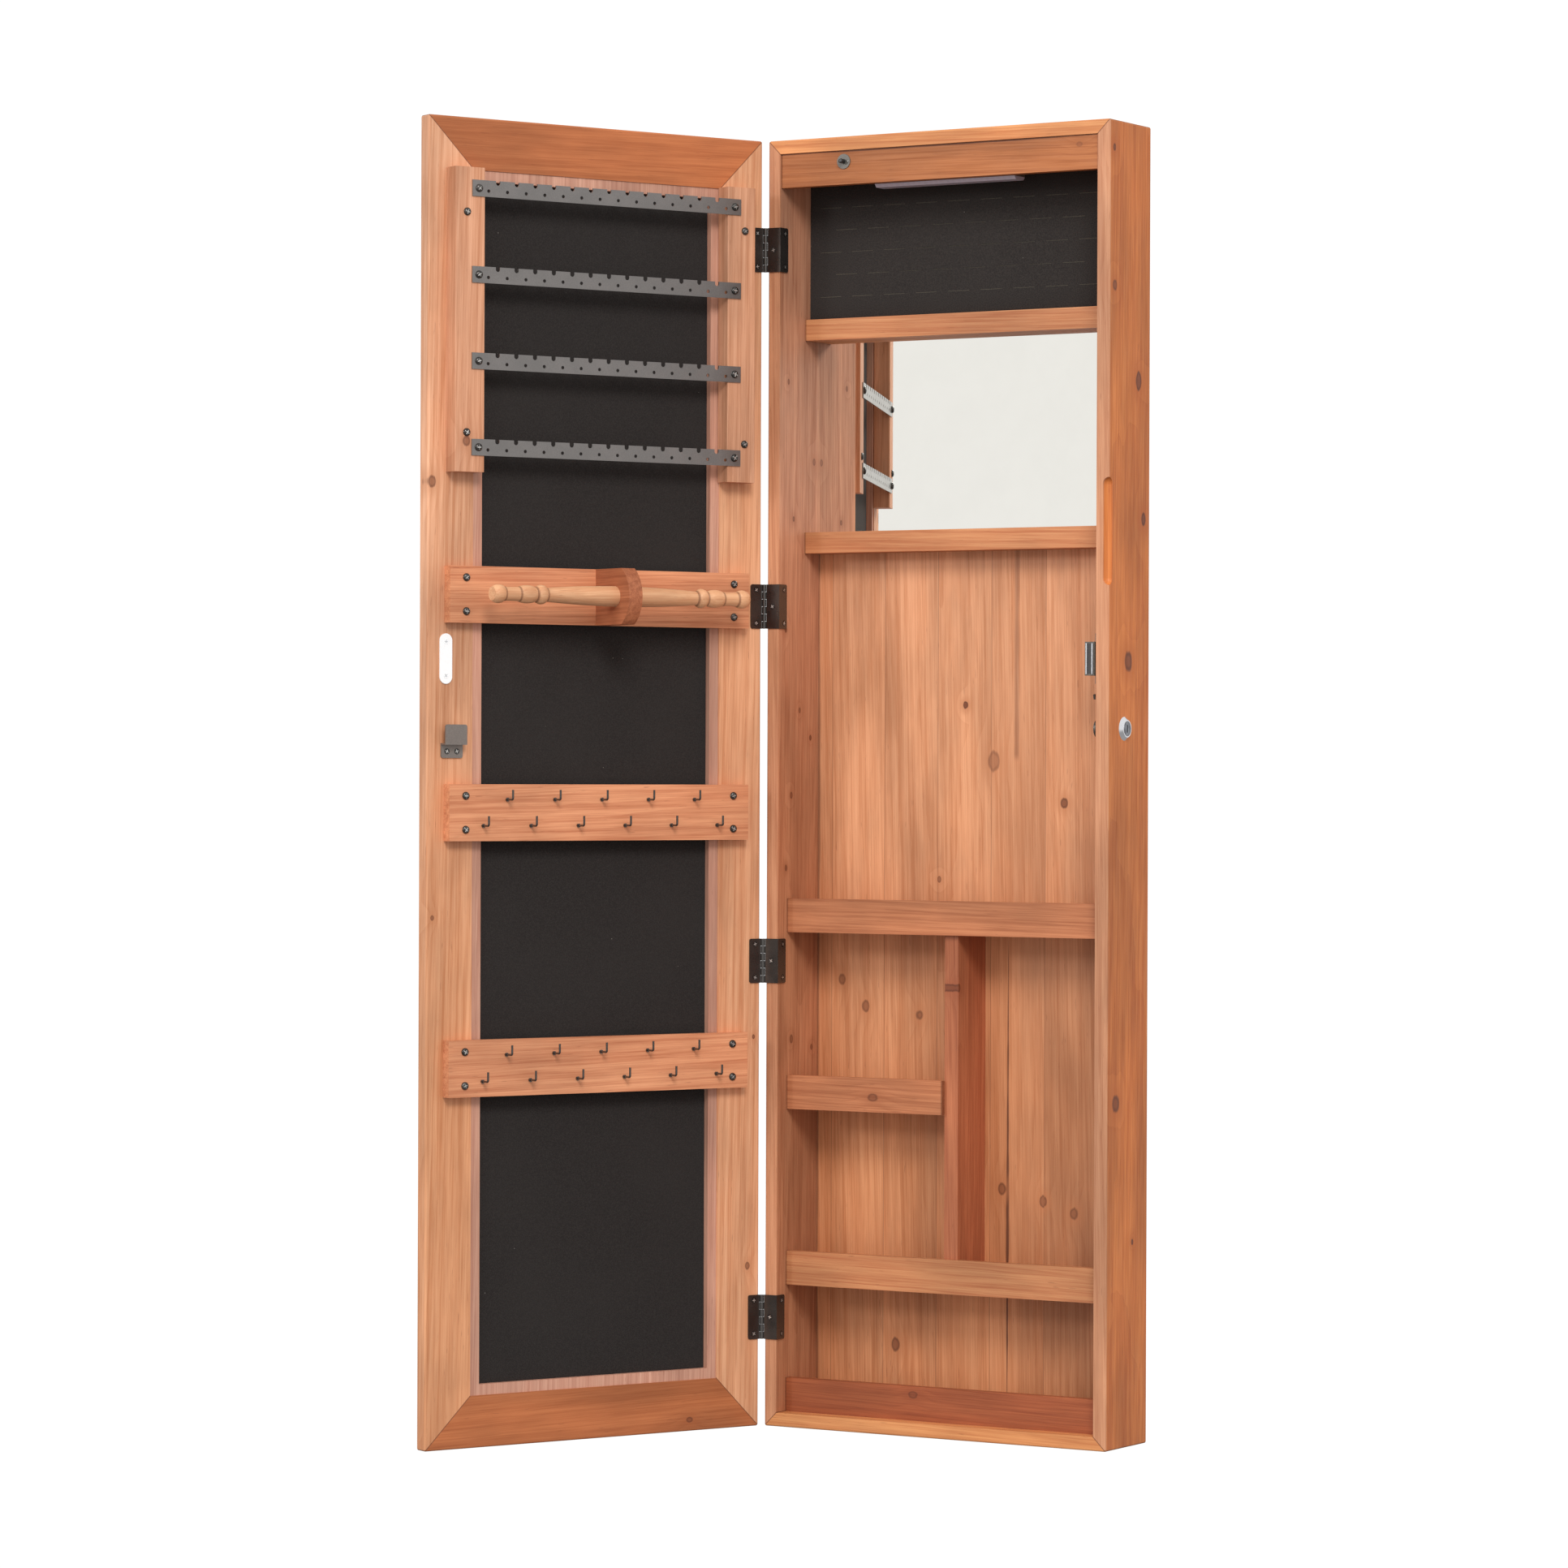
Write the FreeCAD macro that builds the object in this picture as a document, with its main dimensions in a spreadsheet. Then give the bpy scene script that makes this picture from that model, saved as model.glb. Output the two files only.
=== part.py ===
import FreeCAD, Part
import math
import os

# Tall wall-hung jewelry cabinet: a shallow mitred box with a mirrored door that carries the jewelry holders.
# Millimetres. +Z up, front towards -Y, back plane y = 0, origin at the middle of the back.
# The door is drawn closed and turned about its hinge pins to the open rest position.

Vector = FreeCAD.Vector
doc = FreeCAD.newDocument("jewelry_cabinet")
sheet = doc.addObject("Spreadsheet::Sheet", "dim")
nodes = []

sizes = {
    # Cabinet box
    "width": 366,
    "height": 1219,
    "depth": 81,
    "wall": 13,
    "edgeRound": 2,
    "backThick": 7,
    # Light bay under the top board
    "valanceHeight": 32,
    "valanceThick": 10,
    "valanceSetback": 2,
    "soffitThick": 8,
    "soffitRise": 6,
    "lightLength": 150,
    "lightDepth": 20,
    "lightHousingHeight": 6,
    "lightDiffuserHeight": 3,
    "lightSetback": 3,
    "switchX": -101,
    "switchDrop": 10.5,
    "switchFaceRadius": 7,
    "switchFaceThick": 1,
    "switchBodyRadius": 5,
    "switchBodyLength": 19,
    "plungerRadius": 2.2,
    "plungerReach": 6.5,
    "plungerInside": 13,
    "batteryRadius": 5.2,
    "batteryLength": 44.5,
    "batteryCount": 3,
    "batteryTrayWall": 1.5,
    "batteryTrayX": 45,
    # Ring cushion, small mirror and their rails
    "railHeight": 20,
    "railDepth": 27,
    "ringRailTop": 443,
    "cushionThick": 20,
    "cushionGap": 0.3,
    "cushionCrown": 2,
    "mirrorRailTop": 240,
    "smallMirrorThick": 3,
    # Shelves, lips and divider
    "lipHeight": 32,
    "lipThick": 9,
    "lipSetback": 17,
    "shelfThick": 9,
    "upperShelfZ": -141,
    "middleShelfZ": -309,
    "lowerShelfZ": -476,
    "dividerThick": 14.5,
    "dividerSetback": 22,
    # Finger pull routed in the right front edge
    "pullRadius": 6.5,
    "pullLow": 183,
    "pullHigh": 282,
    # Door
    "openAngle": 114.6,
    "doorGap": 2.8,
    "doorThick": 15,
    "frameWidth": 48,
    "mirrorLip": 6,
    "mirrorLipThick": 3.5,
    "mirrorThick": 2,
    "backingThick": 2.5,
    "beadWidth": 10,
    "beadThick": 6,
    "glassPlay": 0.5,
    # Hinges
    "hingeHeight": 42,
    "hingeOuterZ": 506,
    "hingeInnerZ": 168,
    "leafThick": 1.2,
    "leafWidth": 12.5,
    "flangeDepth": 13,
    "leafCorner": 2,
    "knuckleRadius": 2.2,
    "knuckleCount": 6,
    "knuckleGap": 0.3,
    "pinRadius": 1.2,
    "pinPlay": 0.05,
    "pinOut": 2.4,
    # Earring rack
    "stripWidth": 31,
    "stripThick": 16.5,
    "stripInset": 19,
    "stripLow": 284,
    "stripHigh": 562,
    "stripScrewHigh": 521,
    "stripScrewLow": 320,
    "stripScrewInset": 12,
    "barLength": 294,
    "barHeight": 15,
    "barThick": 1.2,
    "barTop": 543,
    "barPitch": 78.8,
    "barCount": 4,
    "barHoleRadius": 1.6,
    "barHoleDrop": 2.2,
    "barHolePitch": 20,
    "barHoleCount": 14,
    "barNotchRadius": 2.2,
    "barNotchDepth": 2,
    "barScrewInset": 7,
    # Boards on the door
    "boardLength": 327,
    "boardHeight": 52,
    "boardThick": 10.5,
    "boardX": 1.5,
    "boardScrewInset": 17,
    "boardScrewSpread": 31,
    "braceletZ": 172.5,
    "hookUpperZ": -27,
    "hookLowerZ": -261,
    "hookPitch": 51.2,
    "hookUpperCount": 5,
    "hookLowerCount": 6,
    "hookSpread": 24,
    "hookReach": 11.5,
    "hookRise": 9,
    "hookWire": 1,
    "hookBend": 1.8,
    "hookCollarRadius": 1.8,
    "hookCollarLength": 1.6,
    "hookBury": 7,
    "bracketThick": 14.5,
    "bracketReach": 58,
    "bracketNose": 14,
    "rodReach": 33,
    "rodLength": 278,
    "rodRadius": 9.5,
    "rodWaist": 6.4,
    "rodRingRadius": 9,
    "rodSwellRadius": 8.4,
    "rodNeckRadius": 6.8,
    "rodKnobRadius": 8.7,
    "rodRingWidth": 11,
    "rodSwellWidth": 18,
    "rodNeckWidth": 16,
    "rodKnobWidth": 12,
    "rodPlay": 0.1,
    # Catch, strike, lock and keeper
    "catchZ": 116,
    "catchBodyLength": 31,
    "catchBodyThick": 10,
    "catchBodyDepth": 16,
    "catchPlateLength": 46,
    "catchPlateThick": 1.4,
    "catchShell": 1.4,
    "poleThick": 1.2,
    "poleGap": 0.3,
    "strikeLength": 46,
    "strikeWidth": 13,
    "strikeThick": 1.2,
    "strikeInset": 12.7,
    "strikeZ": 113.6,
    "strikeScrewSpread": 31,
    "lockZ": 52,
    "lockSetback": 32,
    "lockFaceRadius": 11,
    "lockFaceThick": 3,
    "lockFaceRim": 1,
    "lockBarrelRadius": 8,
    "lockBarrelLength": 26,
    "lockPlay": 0.1,
    "lockNutAcross": 22,
    "lockNutThick": 5,
    "plugRadius": 5.5,
    "plugPlay": 0.05,
    "plugFaceRadius": 7,
    "plugFaceThick": 1.2,
    "keySlotWidth": 1.6,
    "keySlotLength": 7,
    "keySlotDepth": 8,
    "camThick": 2,
    "camHubRadius": 8.5,
    "camArmLow": 2.5,
    "camArmHigh": 8.5,
    "camClawInner": 28,
    "camClawOuter": 32.5,
    "camClawAngle": 16,
    "camScrewRadius": 3.6,
    "camScrewThick": 2.4,
    "keeperPlay": 1.2,
    "keeperWidth": 22.8,
    "keeperLow": 23,
    "keeperBaseHeight": 12,
    "keeperFlangeHeight": 18.5,
    "keeperStand": 9.5,
    "keeperThick": 1.5,
    "keeperScrewSpread": 10.5,
    # Wood screws
    "screwHeadRadius": 3.7,
    "screwHeadHeight": 2.2,
    "screwShankRadius": 1.5,
    "screwHolePlay": 0.2,
    "boardScrewLength": 19,
    "stripScrewLength": 25,
    "barScrewLength": 12,
    "flatScrewRadius": 2.6,
    "flatScrewLength": 9,
    # Wall hangers let into the back panel
    "hangerSpread": 240,
    "hangerZ": 500,
    "hangerWidth": 16,
    "hangerHeight": 44,
    "hangerThick": 1.5,
    "hangerWell": 5,
    "hangerWellHeight": 26,
    "hangerHoleRadius": 4.6,
    "hangerSlotRadius": 2.3,
    "hangerSlotRise": 11,
    "hangerScrewSpread": 35,
    "hangerScrewLength": 6,
}

for row, (alias, value) in enumerate(sizes.items(), 1):
    sheet.set(f"A{row}", alias)
    sheet.set(f"B{row}", str(value))
    sheet.setAlias(f"B{row}", alias)
doc.recompute()


def val(alias):
    return float(sheet.get(alias))


def bind(obj, prop, expression):
    obj.setExpression(prop, expression)


def publish(obj, name):
    obj.Label = name
    nodes.append(obj)
    return obj


# Faces that the boards share, as expressions in the sheet's own names
halfWidth = "dim.width / 2"
halfHeight = "dim.height / 2"
innerX = "(dim.width / 2 - dim.wall)"
innerTop = "(dim.height / 2 - dim.wall)"
frontY = "(-dim.depth)"
panelY = "(-dim.backThick)"
doorFaceY = "(-dim.depth - dim.doorGap)"
lipFrontY = "(-dim.depth + dim.lipSetback)"
lipBackY = "(-dim.depth + dim.lipSetback + dim.lipThick)"
pinX = "(-dim.width / 2 - dim.pinOut)"
pinY = "(-dim.depth - dim.doorGap / 2)"

# The same faces as numbers, for the shapes that are set in code
cabinetFront = -val("depth")
doorFace = -val("depth") - val("doorGap")
wallInside = val("width") / 2 - val("wall")
hingePin = Vector(-val("width") / 2 - val("pinOut"), -val("depth") - val("doorGap") / 2, 0)
doorTurn = FreeCAD.Rotation(Vector(0, 0, -1), val("openAngle"))
doorOpen = FreeCAD.Placement(Vector(0, 0, 0), doorTurn, hingePin)


def block(name, x, y, z, onDoor=False):
    # A rectangular board between pairs of faces, turned with the door where it belongs to it
    box = doc.addObject("Part::Box", name)
    bind(box, "Length", f"({x[1]}) - ({x[0]})")
    bind(box, "Width", f"({y[1]}) - ({y[0]})")
    bind(box, "Height", f"({z[1]}) - ({z[0]})")
    bind(box, "Placement.Base.z", z[0])
    if onDoor:
        turn = "(dim.openAngle * 1 deg)"
        acrossX = f"(({x[0]}) - {pinX})"
        acrossY = f"(({y[0]}) - {pinY})"
        box.Placement = FreeCAD.Placement(Vector(), doorTurn)
        bind(box, "Placement.Rotation.Angle", "dim.openAngle")
        bind(box, "Placement.Base.x", f"{pinX} + {acrossX} * cos{turn} + {acrossY} * sin{turn}")
        bind(box, "Placement.Base.y", f"{pinY} - {acrossX} * sin{turn} + {acrossY} * cos{turn}")
    else:
        bind(box, "Placement.Base.x", x[0])
        bind(box, "Placement.Base.y", y[0])
    return box


def cylinder(name, radius, height, base, axis):
    tube = doc.addObject("Part::Cylinder", name)
    bind(tube, "Radius", radius)
    bind(tube, "Height", height)
    tube.Placement.Rotation = FreeCAD.Rotation(Vector(0, 0, 1), axis)
    for letter, expression in zip("xyz", base):
        bind(tube, f"Placement.Base.{letter}", expression)
    return tube


def cut(name, base, tool):
    result = doc.addObject("Part::Cut", name)
    result.Base = base
    result.Tool = tool
    return result


def common(name, base, tool):
    result = doc.addObject("Part::Common", name)
    result.Base = base
    result.Tool = tool
    return result


def fuse(name, pieces):
    result = doc.addObject("Part::MultiFuse", name)
    result.Shapes = pieces
    return result


def rounded(name, base, alias):
    doc.recompute()
    result = doc.addObject("Part::Fillet", name)
    result.Base = base
    radius = val(alias)
    result.Edges = [(index + 1, radius, radius) for index in range(len(base.Shape.Edges))]
    return result


def mitred(name, length, deep, thick, along, inward, base):
    # A board whose ends are cut at 45 degrees: full length outside, shorter inside
    board = doc.addObject("Part::Wedge", name)
    bind(board, "Xmin", f"-({length}) / 2")
    bind(board, "Xmax", f"({length}) / 2")
    bind(board, "X2min", f"-({length}) / 2 + {deep}")
    bind(board, "X2max", f"({length}) / 2 - {deep}")
    board.Ymin = 0
    bind(board, "Ymax", deep)
    for low in ("Zmin", "Z2min"):
        bind(board, low, "0")
    for high in ("Zmax", "Z2max"):
        bind(board, high, thick)
    board.Placement.Rotation = FreeCAD.Rotation(along, inward, along.cross(inward), "XYZ")
    for letter, expression in zip("xyz", base):
        bind(board, f"Placement.Base.{letter}", expression)
    return board


def solidNode(name, shape, onDoor=False):
    # A piece whose form is set in code from the sheet's values
    feature = doc.addObject("Part::Feature", name)
    feature.Shape = shape
    if onDoor:
        feature.Placement = doorOpen
    return publish(feature, name)


def slab(low, high):
    return Part.makeBox(high[0] - low[0], high[1] - low[1], high[2] - low[2], Vector(*low))


def disc(radius, length, base, axis):
    return Part.makeCylinder(radius, length, base, axis)


def group(shapes):
    return Part.makeCompound(shapes)


def capsuleFace(center, halfLength, radius):
    # A vertical slot outline with round ends in the XZ plane
    left = Vector(-radius, 0, 0)
    right = Vector(radius, 0, 0)
    rise = Vector(0, 0, halfLength)
    crown = Vector(0, 0, halfLength + radius)
    edges = [
        Part.LineSegment(center + left - rise, center + left + rise).toShape(),
        Part.Arc(center + left + rise, center + crown, center + right + rise).toShape(),
        Part.LineSegment(center + right + rise, center + right - rise).toShape(),
        Part.Arc(center + right - rise, center - crown, center + left - rise).toShape(),
    ]
    return Part.Face(Part.Wire(edges))


Xaxis = Vector(1, 0, 0)
Yaxis = Vector(0, 1, 0)
Zaxis = Vector(0, 0, 1)

# The outside of the box and of the door, with every edge softened
boxBlank = block("box_blank", (f"-{halfWidth}", halfWidth), (frontY, "0"), (f"-{halfHeight}", halfHeight))
boxEnvelope = rounded("box_envelope", boxBlank, "edgeRound")
doorOuterY = f"({doorFaceY} - dim.doorThick)"
doorBlank = block("door_blank", (f"-{halfWidth}", halfWidth), (doorOuterY, doorFaceY),
                  (f"-{halfHeight}", halfHeight))
doorEnvelope = rounded("door_envelope", doorBlank, "edgeRound")


# Mitred box: two sides, top and bottom
leftBlank = mitred("left_blank", "dim.height", "dim.wall", "dim.depth", Zaxis, Xaxis,
                   (f"-{halfWidth}", frontY, "0"))
rightBlank = mitred("right_blank", "dim.height", "dim.wall", "dim.depth", Zaxis, -Xaxis,
                    (halfWidth, "0", "0"))
topBlank = mitred("top_blank", "dim.width", "dim.wall", "dim.depth", Xaxis, -Zaxis, ("0", frontY, halfHeight))
bottomBlank = mitred("bottom_blank", "dim.width", "dim.wall", "dim.depth", Xaxis, Zaxis,
                     ("0", "0", f"-{halfHeight}"))
publish(common("left_side", leftBlank, boxEnvelope), "left_side")
publish(common("top_board", topBlank, boxEnvelope), "top_board")
publish(common("bottom_board", bottomBlank, boxEnvelope), "bottom_board")

# Right side with the routed finger pull and the lock hole
rightRound = common("right_round", rightBlank, boxEnvelope)
pullStart = "dim.pullLow + dim.pullRadius"
pullBase = (halfWidth, frontY, pullStart)
pullCutter = cylinder("pull_cutter", "dim.pullRadius", "dim.pullHigh - dim.pullLow - 2 * dim.pullRadius",
                      pullBase, Zaxis)
pullEnds = []
for name, height in (("pull_low", pullStart), ("pull_high", "dim.pullHigh - dim.pullRadius")):
    ball = doc.addObject("Part::Sphere", name)
    bind(ball, "Radius", "dim.pullRadius")
    for letter, expression in zip("xyz", (halfWidth, frontY, height)):
        bind(ball, f"Placement.Base.{letter}", expression)
    pullEnds.append(ball)
lockY = "(-dim.depth + dim.lockSetback)"
lockHole = cylinder("lock_hole", "dim.lockBarrelRadius + dim.lockPlay", "dim.wall * 3",
                    (f"{halfWidth} - 2 * dim.wall", lockY, "dim.lockZ"), Xaxis)
rightCuts = fuse("right_cuts", [pullCutter] + pullEnds + [lockHole])
publish(cut("right_side", rightRound, rightCuts), "right_side")


# Back panel, flush with the back, with a seat and a deeper well for each hanger plate
panel = block("panel_blank", (f"-{innerX}", innerX), (panelY, "0"), (f"-{innerTop}", innerTop))
hangerRecesses = (("seat", "dim.hangerThick", "dim.hangerHeight"),
                  ("well", "dim.hangerWell", "dim.hangerWellHeight"))
pockets = []
for side, sign in (("left", "-"), ("right", "")):
    middle = f"({sign}dim.hangerSpread / 2)"
    across = (f"{middle} - dim.hangerWidth / 2", f"{middle} + dim.hangerWidth / 2")
    for name, deep, tall in hangerRecesses:
        pockets.append(block(f"hanger_{name}_{side}", across, (f"-{deep}", "dim.wall"),
                             (f"dim.hangerZ - {tall} / 2", f"dim.hangerZ + {tall} / 2")))
publish(cut("back_panel", panel, fuse("hanger_pockets", pockets)), "back_panel")


# Light bay: valance, soffit, light bar, switch and battery tray
valanceLow = f"({innerTop} - dim.valanceHeight)"
valanceFront = "(-dim.depth + dim.valanceSetback)"
valanceBack = "(-dim.depth + dim.valanceSetback + dim.valanceThick)"
soffitLow = f"({valanceLow} + dim.soffitRise)"
valanceBlank = block("valance_blank", (f"-{innerX}", innerX), (valanceFront, valanceBack),
                     (valanceLow, innerTop))
switchZ = f"({innerTop} - dim.switchDrop)"
switchHole = cylinder("switch_hole", "dim.switchBodyRadius + dim.lockPlay", "dim.valanceThick * 3",
                      ("dim.switchX", f"{valanceFront} - dim.valanceThick", switchZ), Yaxis)
publish(cut("light_valance", valanceBlank, switchHole), "light_valance")
publish(block("light_soffit", (f"-{innerX}", innerX), (valanceBack, panelY),
              (soffitLow, f"{soffitLow} + dim.soffitThick")), "light_soffit")
lightFront = f"({valanceBack} + dim.lightSetback)"
lightMiddle = f"({soffitLow} - dim.lightHousingHeight)"
publish(block("light_housing", ("-dim.lightLength / 2", "dim.lightLength / 2"),
              (lightFront, f"{lightFront} + dim.lightDepth"), (lightMiddle, soffitLow)), "light_housing")

valanceFace = cabinetFront + val("valanceSetback")
bayTop = val("height") / 2 - val("wall")
soffitFace = bayTop - val("valanceHeight") + val("soffitRise")


def lightDiffuser():
    # Shallow lens, narrower at its lower face, under the full length of the housing
    top = soffitFace - val("lightHousingHeight")
    low = top - val("lightDiffuserHeight")
    near = valanceFace + val("valanceThick") + val("lightSetback")
    far = near + val("lightDepth")
    draft = val("lightDiffuserHeight")
    half = val("lightLength") / 2
    corners = [(near, top), (far, top), (far - draft, low), (near + draft, low)]
    points = [Vector(-half, y, z) for y, z in corners]
    return Part.Face(Part.makePolygon(points + points[:1])).extrude(Vector(2 * half, 0, 0))


solidNode("light_diffuser", lightDiffuser())

switchCenter = Vector(val("switchX"), valanceFace, bayTop - val("switchDrop"))


def switchHousing():
    thick = val("switchFaceThick")
    face = disc(val("switchFaceRadius"), thick, switchCenter - Yaxis * thick, Yaxis)
    body = disc(val("switchBodyRadius"), val("switchBodyLength"), switchCenter, Yaxis)
    bore = disc(val("plungerRadius") + val("pinPlay"), val("plungerInside") + val("switchBodyRadius"),
                switchCenter - Yaxis * 2 * thick, Yaxis)
    return face.fuse(body).removeSplitter().cut(bore)


def switchPlunger():
    tip = switchCenter - Yaxis * (val("switchFaceThick") + val("plungerReach"))
    length = val("plungerReach") + val("plungerInside") - val("plungerRadius")
    stem = disc(val("plungerRadius"), length, tip, Yaxis)
    return stem.makeFillet(val("plungerRadius") / 2, [edge for edge in stem.Edges
                                                      if edge.BoundBox.YMax < tip.y + val("pinPlay")])


solidNode("switch_housing", switchHousing())
solidNode("switch_plunger", switchPlunger())


def batterySeats():
    pitch = 2 * val("batteryRadius") + val("batteryTrayWall")
    floor = soffitFace + val("soffitThick")
    rearY = -val("backThick") - 2 * val("batteryTrayWall")
    left = val("batteryTrayX")
    height = floor + val("batteryTrayWall") + val("batteryRadius")
    return [Vector(left, rearY - pitch * (index + 0.5), height) for index in range(int(val("batteryCount")))]


def batteryTray():
    seats = batterySeats()
    wall = val("batteryTrayWall")
    floor = soffitFace + val("soffitThick")
    reach = val("batteryRadius") + wall
    low = (seats[0].x - wall, seats[-1].y - reach, floor)
    high = (seats[0].x + val("batteryLength") + wall, seats[0].y + reach, floor + wall + val("batteryRadius"))
    tray = slab(low, high)
    wells = [disc(val("batteryRadius"), val("batteryLength"), seat, Xaxis) for seat in seats]
    return tray.cut(wells)


def batteryCells():
    play = val("pinPlay")
    radius = val("batteryRadius") - play
    length = val("batteryLength") - 2 * play
    return group([disc(radius, length, seat + Xaxis * play, Xaxis) for seat in batterySeats()])


solidNode("battery_tray", batteryTray())
solidNode("battery_cells", batteryCells())


# Ring cushion between the soffit and its rail, small mirror between the two rails
railFront = "(-dim.backThick - dim.railDepth)"
ringRailLow = "(dim.ringRailTop - dim.railHeight)"
publish(block("ring_rail", (f"-{innerX}", innerX), (railFront, panelY),
              (ringRailLow, "dim.ringRailTop")), "ring_rail")
publish(block("mirror_rail", (f"-{innerX}", innerX), (railFront, panelY),
              ("dim.mirrorRailTop - dim.railHeight", "dim.mirrorRailTop")), "mirror_rail")
publish(block("small_mirror", (f"-{innerX}", innerX), (f"{panelY} - dim.smallMirrorThick", panelY),
              ("dim.mirrorRailTop", ringRailLow)), "small_mirror")


def ringCushion():
    # Foam pad with a crowned front: a loft of bowed outlines from bottom to top
    half = wallInside - val("cushionGap")
    low = val("ringRailTop") + val("cushionGap")
    high = soffitFace - val("cushionGap")
    back = -val("backThick") - val("cushionGap")
    crown = val("cushionCrown")
    edgeFront = back - val("cushionThick") + crown

    def section(z, bow):
        corners = [Vector(-half, back, z), Vector(half, back, z),
                   Vector(half, edgeFront, z), Vector(-half, edgeFront, z)]
        lines = [Part.LineSegment(corners[i], corners[i + 1]).toShape() for i in (0, 1)]
        arc = Part.Arc(corners[2], Vector(0, edgeFront - bow, z), corners[3]).toShape()
        closing = Part.LineSegment(corners[3], corners[0]).toShape()
        return Part.Wire(lines + [arc, closing])

    middle = (low + high) / 2
    return Part.makeLoft([section(low, crown / 2), section(middle, crown), section(high, crown / 2)], True)


solidNode("ring_cushion", ringCushion())


# Shelves with raised front lips, and the upright divider
def shelf(name, underside, right):
    publish(block(name, (f"-{innerX}", right), (lipBackY, panelY),
                  (underside, f"{underside} + dim.shelfThick")), name)
    lipName = name + "_lip"
    publish(block(lipName, (f"-{innerX}", right), (lipFrontY, lipBackY),
                  (underside, f"{underside} + dim.lipHeight")), lipName)


shelf("upper_shelf", "dim.upperShelfZ", innerX)
shelf("middle_shelf", "dim.middleShelfZ", "0")
shelf("lower_shelf", "dim.lowerShelfZ", innerX)
publish(block("bottom_lip", (f"-{innerX}", innerX), (lipFrontY, lipBackY),
              (f"-{innerTop}", f"-{innerTop} + dim.lipHeight")), "bottom_lip")
lowerLipTop = "(dim.lowerShelfZ + dim.lipHeight)"
dividerTop = block("divider_top", ("0", "dim.dividerThick"), ("-dim.depth + dim.dividerSetback", panelY),
                   (lowerLipTop, "dim.upperShelfZ"))
dividerFoot = block("divider_foot", ("0", "dim.dividerThick"), (lipBackY, panelY),
                    ("dim.lowerShelfZ + dim.shelfThick", lowerLipTop))
divider = fuse("divider", [dividerTop, dividerFoot])
divider.Refine = True
publish(divider, "divider")


# Door frame: four mitred members, rebated for the mirror from inside
doorPocket = block("door_pocket", (f"-{halfWidth} + dim.frameWidth", f"{halfWidth} - dim.frameWidth"),
                   (f"{doorOuterY} + dim.mirrorLipThick", f"{doorFaceY} + dim.doorThick"),
                   (f"-{halfHeight} + dim.frameWidth", f"{halfHeight} - dim.frameWidth"))
memberDeep = "(dim.frameWidth + dim.mirrorLip)"
frameMembers = (
    ("door_hinge_stile", "dim.height", Zaxis, Xaxis, (f"-{halfWidth}", doorOuterY, "0")),
    ("door_lock_stile", "dim.height", Zaxis, -Xaxis, (halfWidth, doorFaceY, "0")),
    ("door_top_rail", "dim.width", Xaxis, -Zaxis, ("0", doorOuterY, halfHeight)),
    ("door_bottom_rail", "dim.width", Xaxis, Zaxis, ("0", doorFaceY, f"-{halfHeight}")),
)
for name, length, along, inward, base in frameMembers:
    blank = mitred(name + "_blank", length, memberDeep, "dim.doorThick", along, inward, base)
    member = cut(name, common(name + "_round", blank, doorEnvelope), doorPocket)
    member.Placement = doorOpen
    publish(member, name)

# Mirror, felt-faced backing board and the four beads that hold them
glassHalfX = f"({halfWidth} - dim.frameWidth - dim.glassPlay)"
glassHalfZ = f"({halfHeight} - dim.frameWidth - dim.glassPlay)"
mirrorFront = f"({doorOuterY} + dim.mirrorLipThick)"
backingFront = f"({mirrorFront} + dim.mirrorThick)"
beadFront = f"({backingFront} + dim.backingThick)"
beadBack = f"({beadFront} + dim.beadThick)"
publish(block("door_mirror", (f"-{glassHalfX}", glassHalfX), (mirrorFront, backingFront),
              (f"-{glassHalfZ}", glassHalfZ), True), "door_mirror")
publish(block("door_backing", (f"-{glassHalfX}", glassHalfX), (backingFront, beadFront),
              (f"-{glassHalfZ}", glassHalfZ), True), "door_backing")


def doorBeads():
    halfX = val("width") / 2 - val("frameWidth")
    halfZ = val("height") / 2 - val("frameWidth")
    front = doorFace - val("doorThick") + val("mirrorLipThick") + val("mirrorThick") + val("backingThick")
    back = front + val("beadThick")
    wide = val("beadWidth")
    sides = [slab((-halfX, front, -halfZ), (-halfX + wide, back, halfZ)),
             slab((halfX - wide, front, -halfZ), (halfX, back, halfZ))]
    ends = [slab((-halfX + wide, front, -halfZ), (halfX - wide, back, -halfZ + wide)),
            slab((-halfX + wide, front, halfZ - wide), (halfX - wide, back, halfZ))]
    return group(sides + ends)


solidNode("door_beads", doorBeads(), True)


# Screws: one revolved form with a domed or flat head, pointing along +Y into the door or the box
def screw(head, direction, headRadius, headHeight, length, flat=False):
    shank = val("screwShankRadius")
    if flat:
        profile = [Vector(0, 0, 0), Vector(headRadius, 0, 0), Vector(shank, 0, headHeight)]
        edges = [Part.LineSegment(profile[i], profile[i + 1]).toShape() for i in (0, 1)]
        neck = profile[2]
    else:
        crown = Vector(0, 0, -headHeight)
        rim = Vector(headRadius, 0, 0)
        bulge = Vector(headRadius * math.sin(math.pi / 4), 0, -headHeight * math.cos(math.pi / 4))
        edges = [Part.Arc(crown, bulge, rim).toShape(), Part.LineSegment(rim, Vector(shank, 0, 0)).toShape()]
        neck = Vector(shank, 0, 0)
    start = edges[0].Vertexes[0].Point
    tip = Vector(0, 0, length)
    heel = Vector(shank, 0, length - 2 * shank)
    edges += [Part.LineSegment(neck, heel).toShape(), Part.LineSegment(heel, tip).toShape(),
              Part.LineSegment(tip, start).toShape()]
    body = Part.Face(Part.Wire(Part.__sortEdges__(edges))).revolve(Vector(), Zaxis, 360)
    body.Placement = FreeCAD.Placement(head, FreeCAD.Rotation(Zaxis, direction))
    return body


def panScrew(head, direction, length):
    return screw(head, direction, val("screwHeadRadius"), val("screwHeadHeight"), length)


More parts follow.
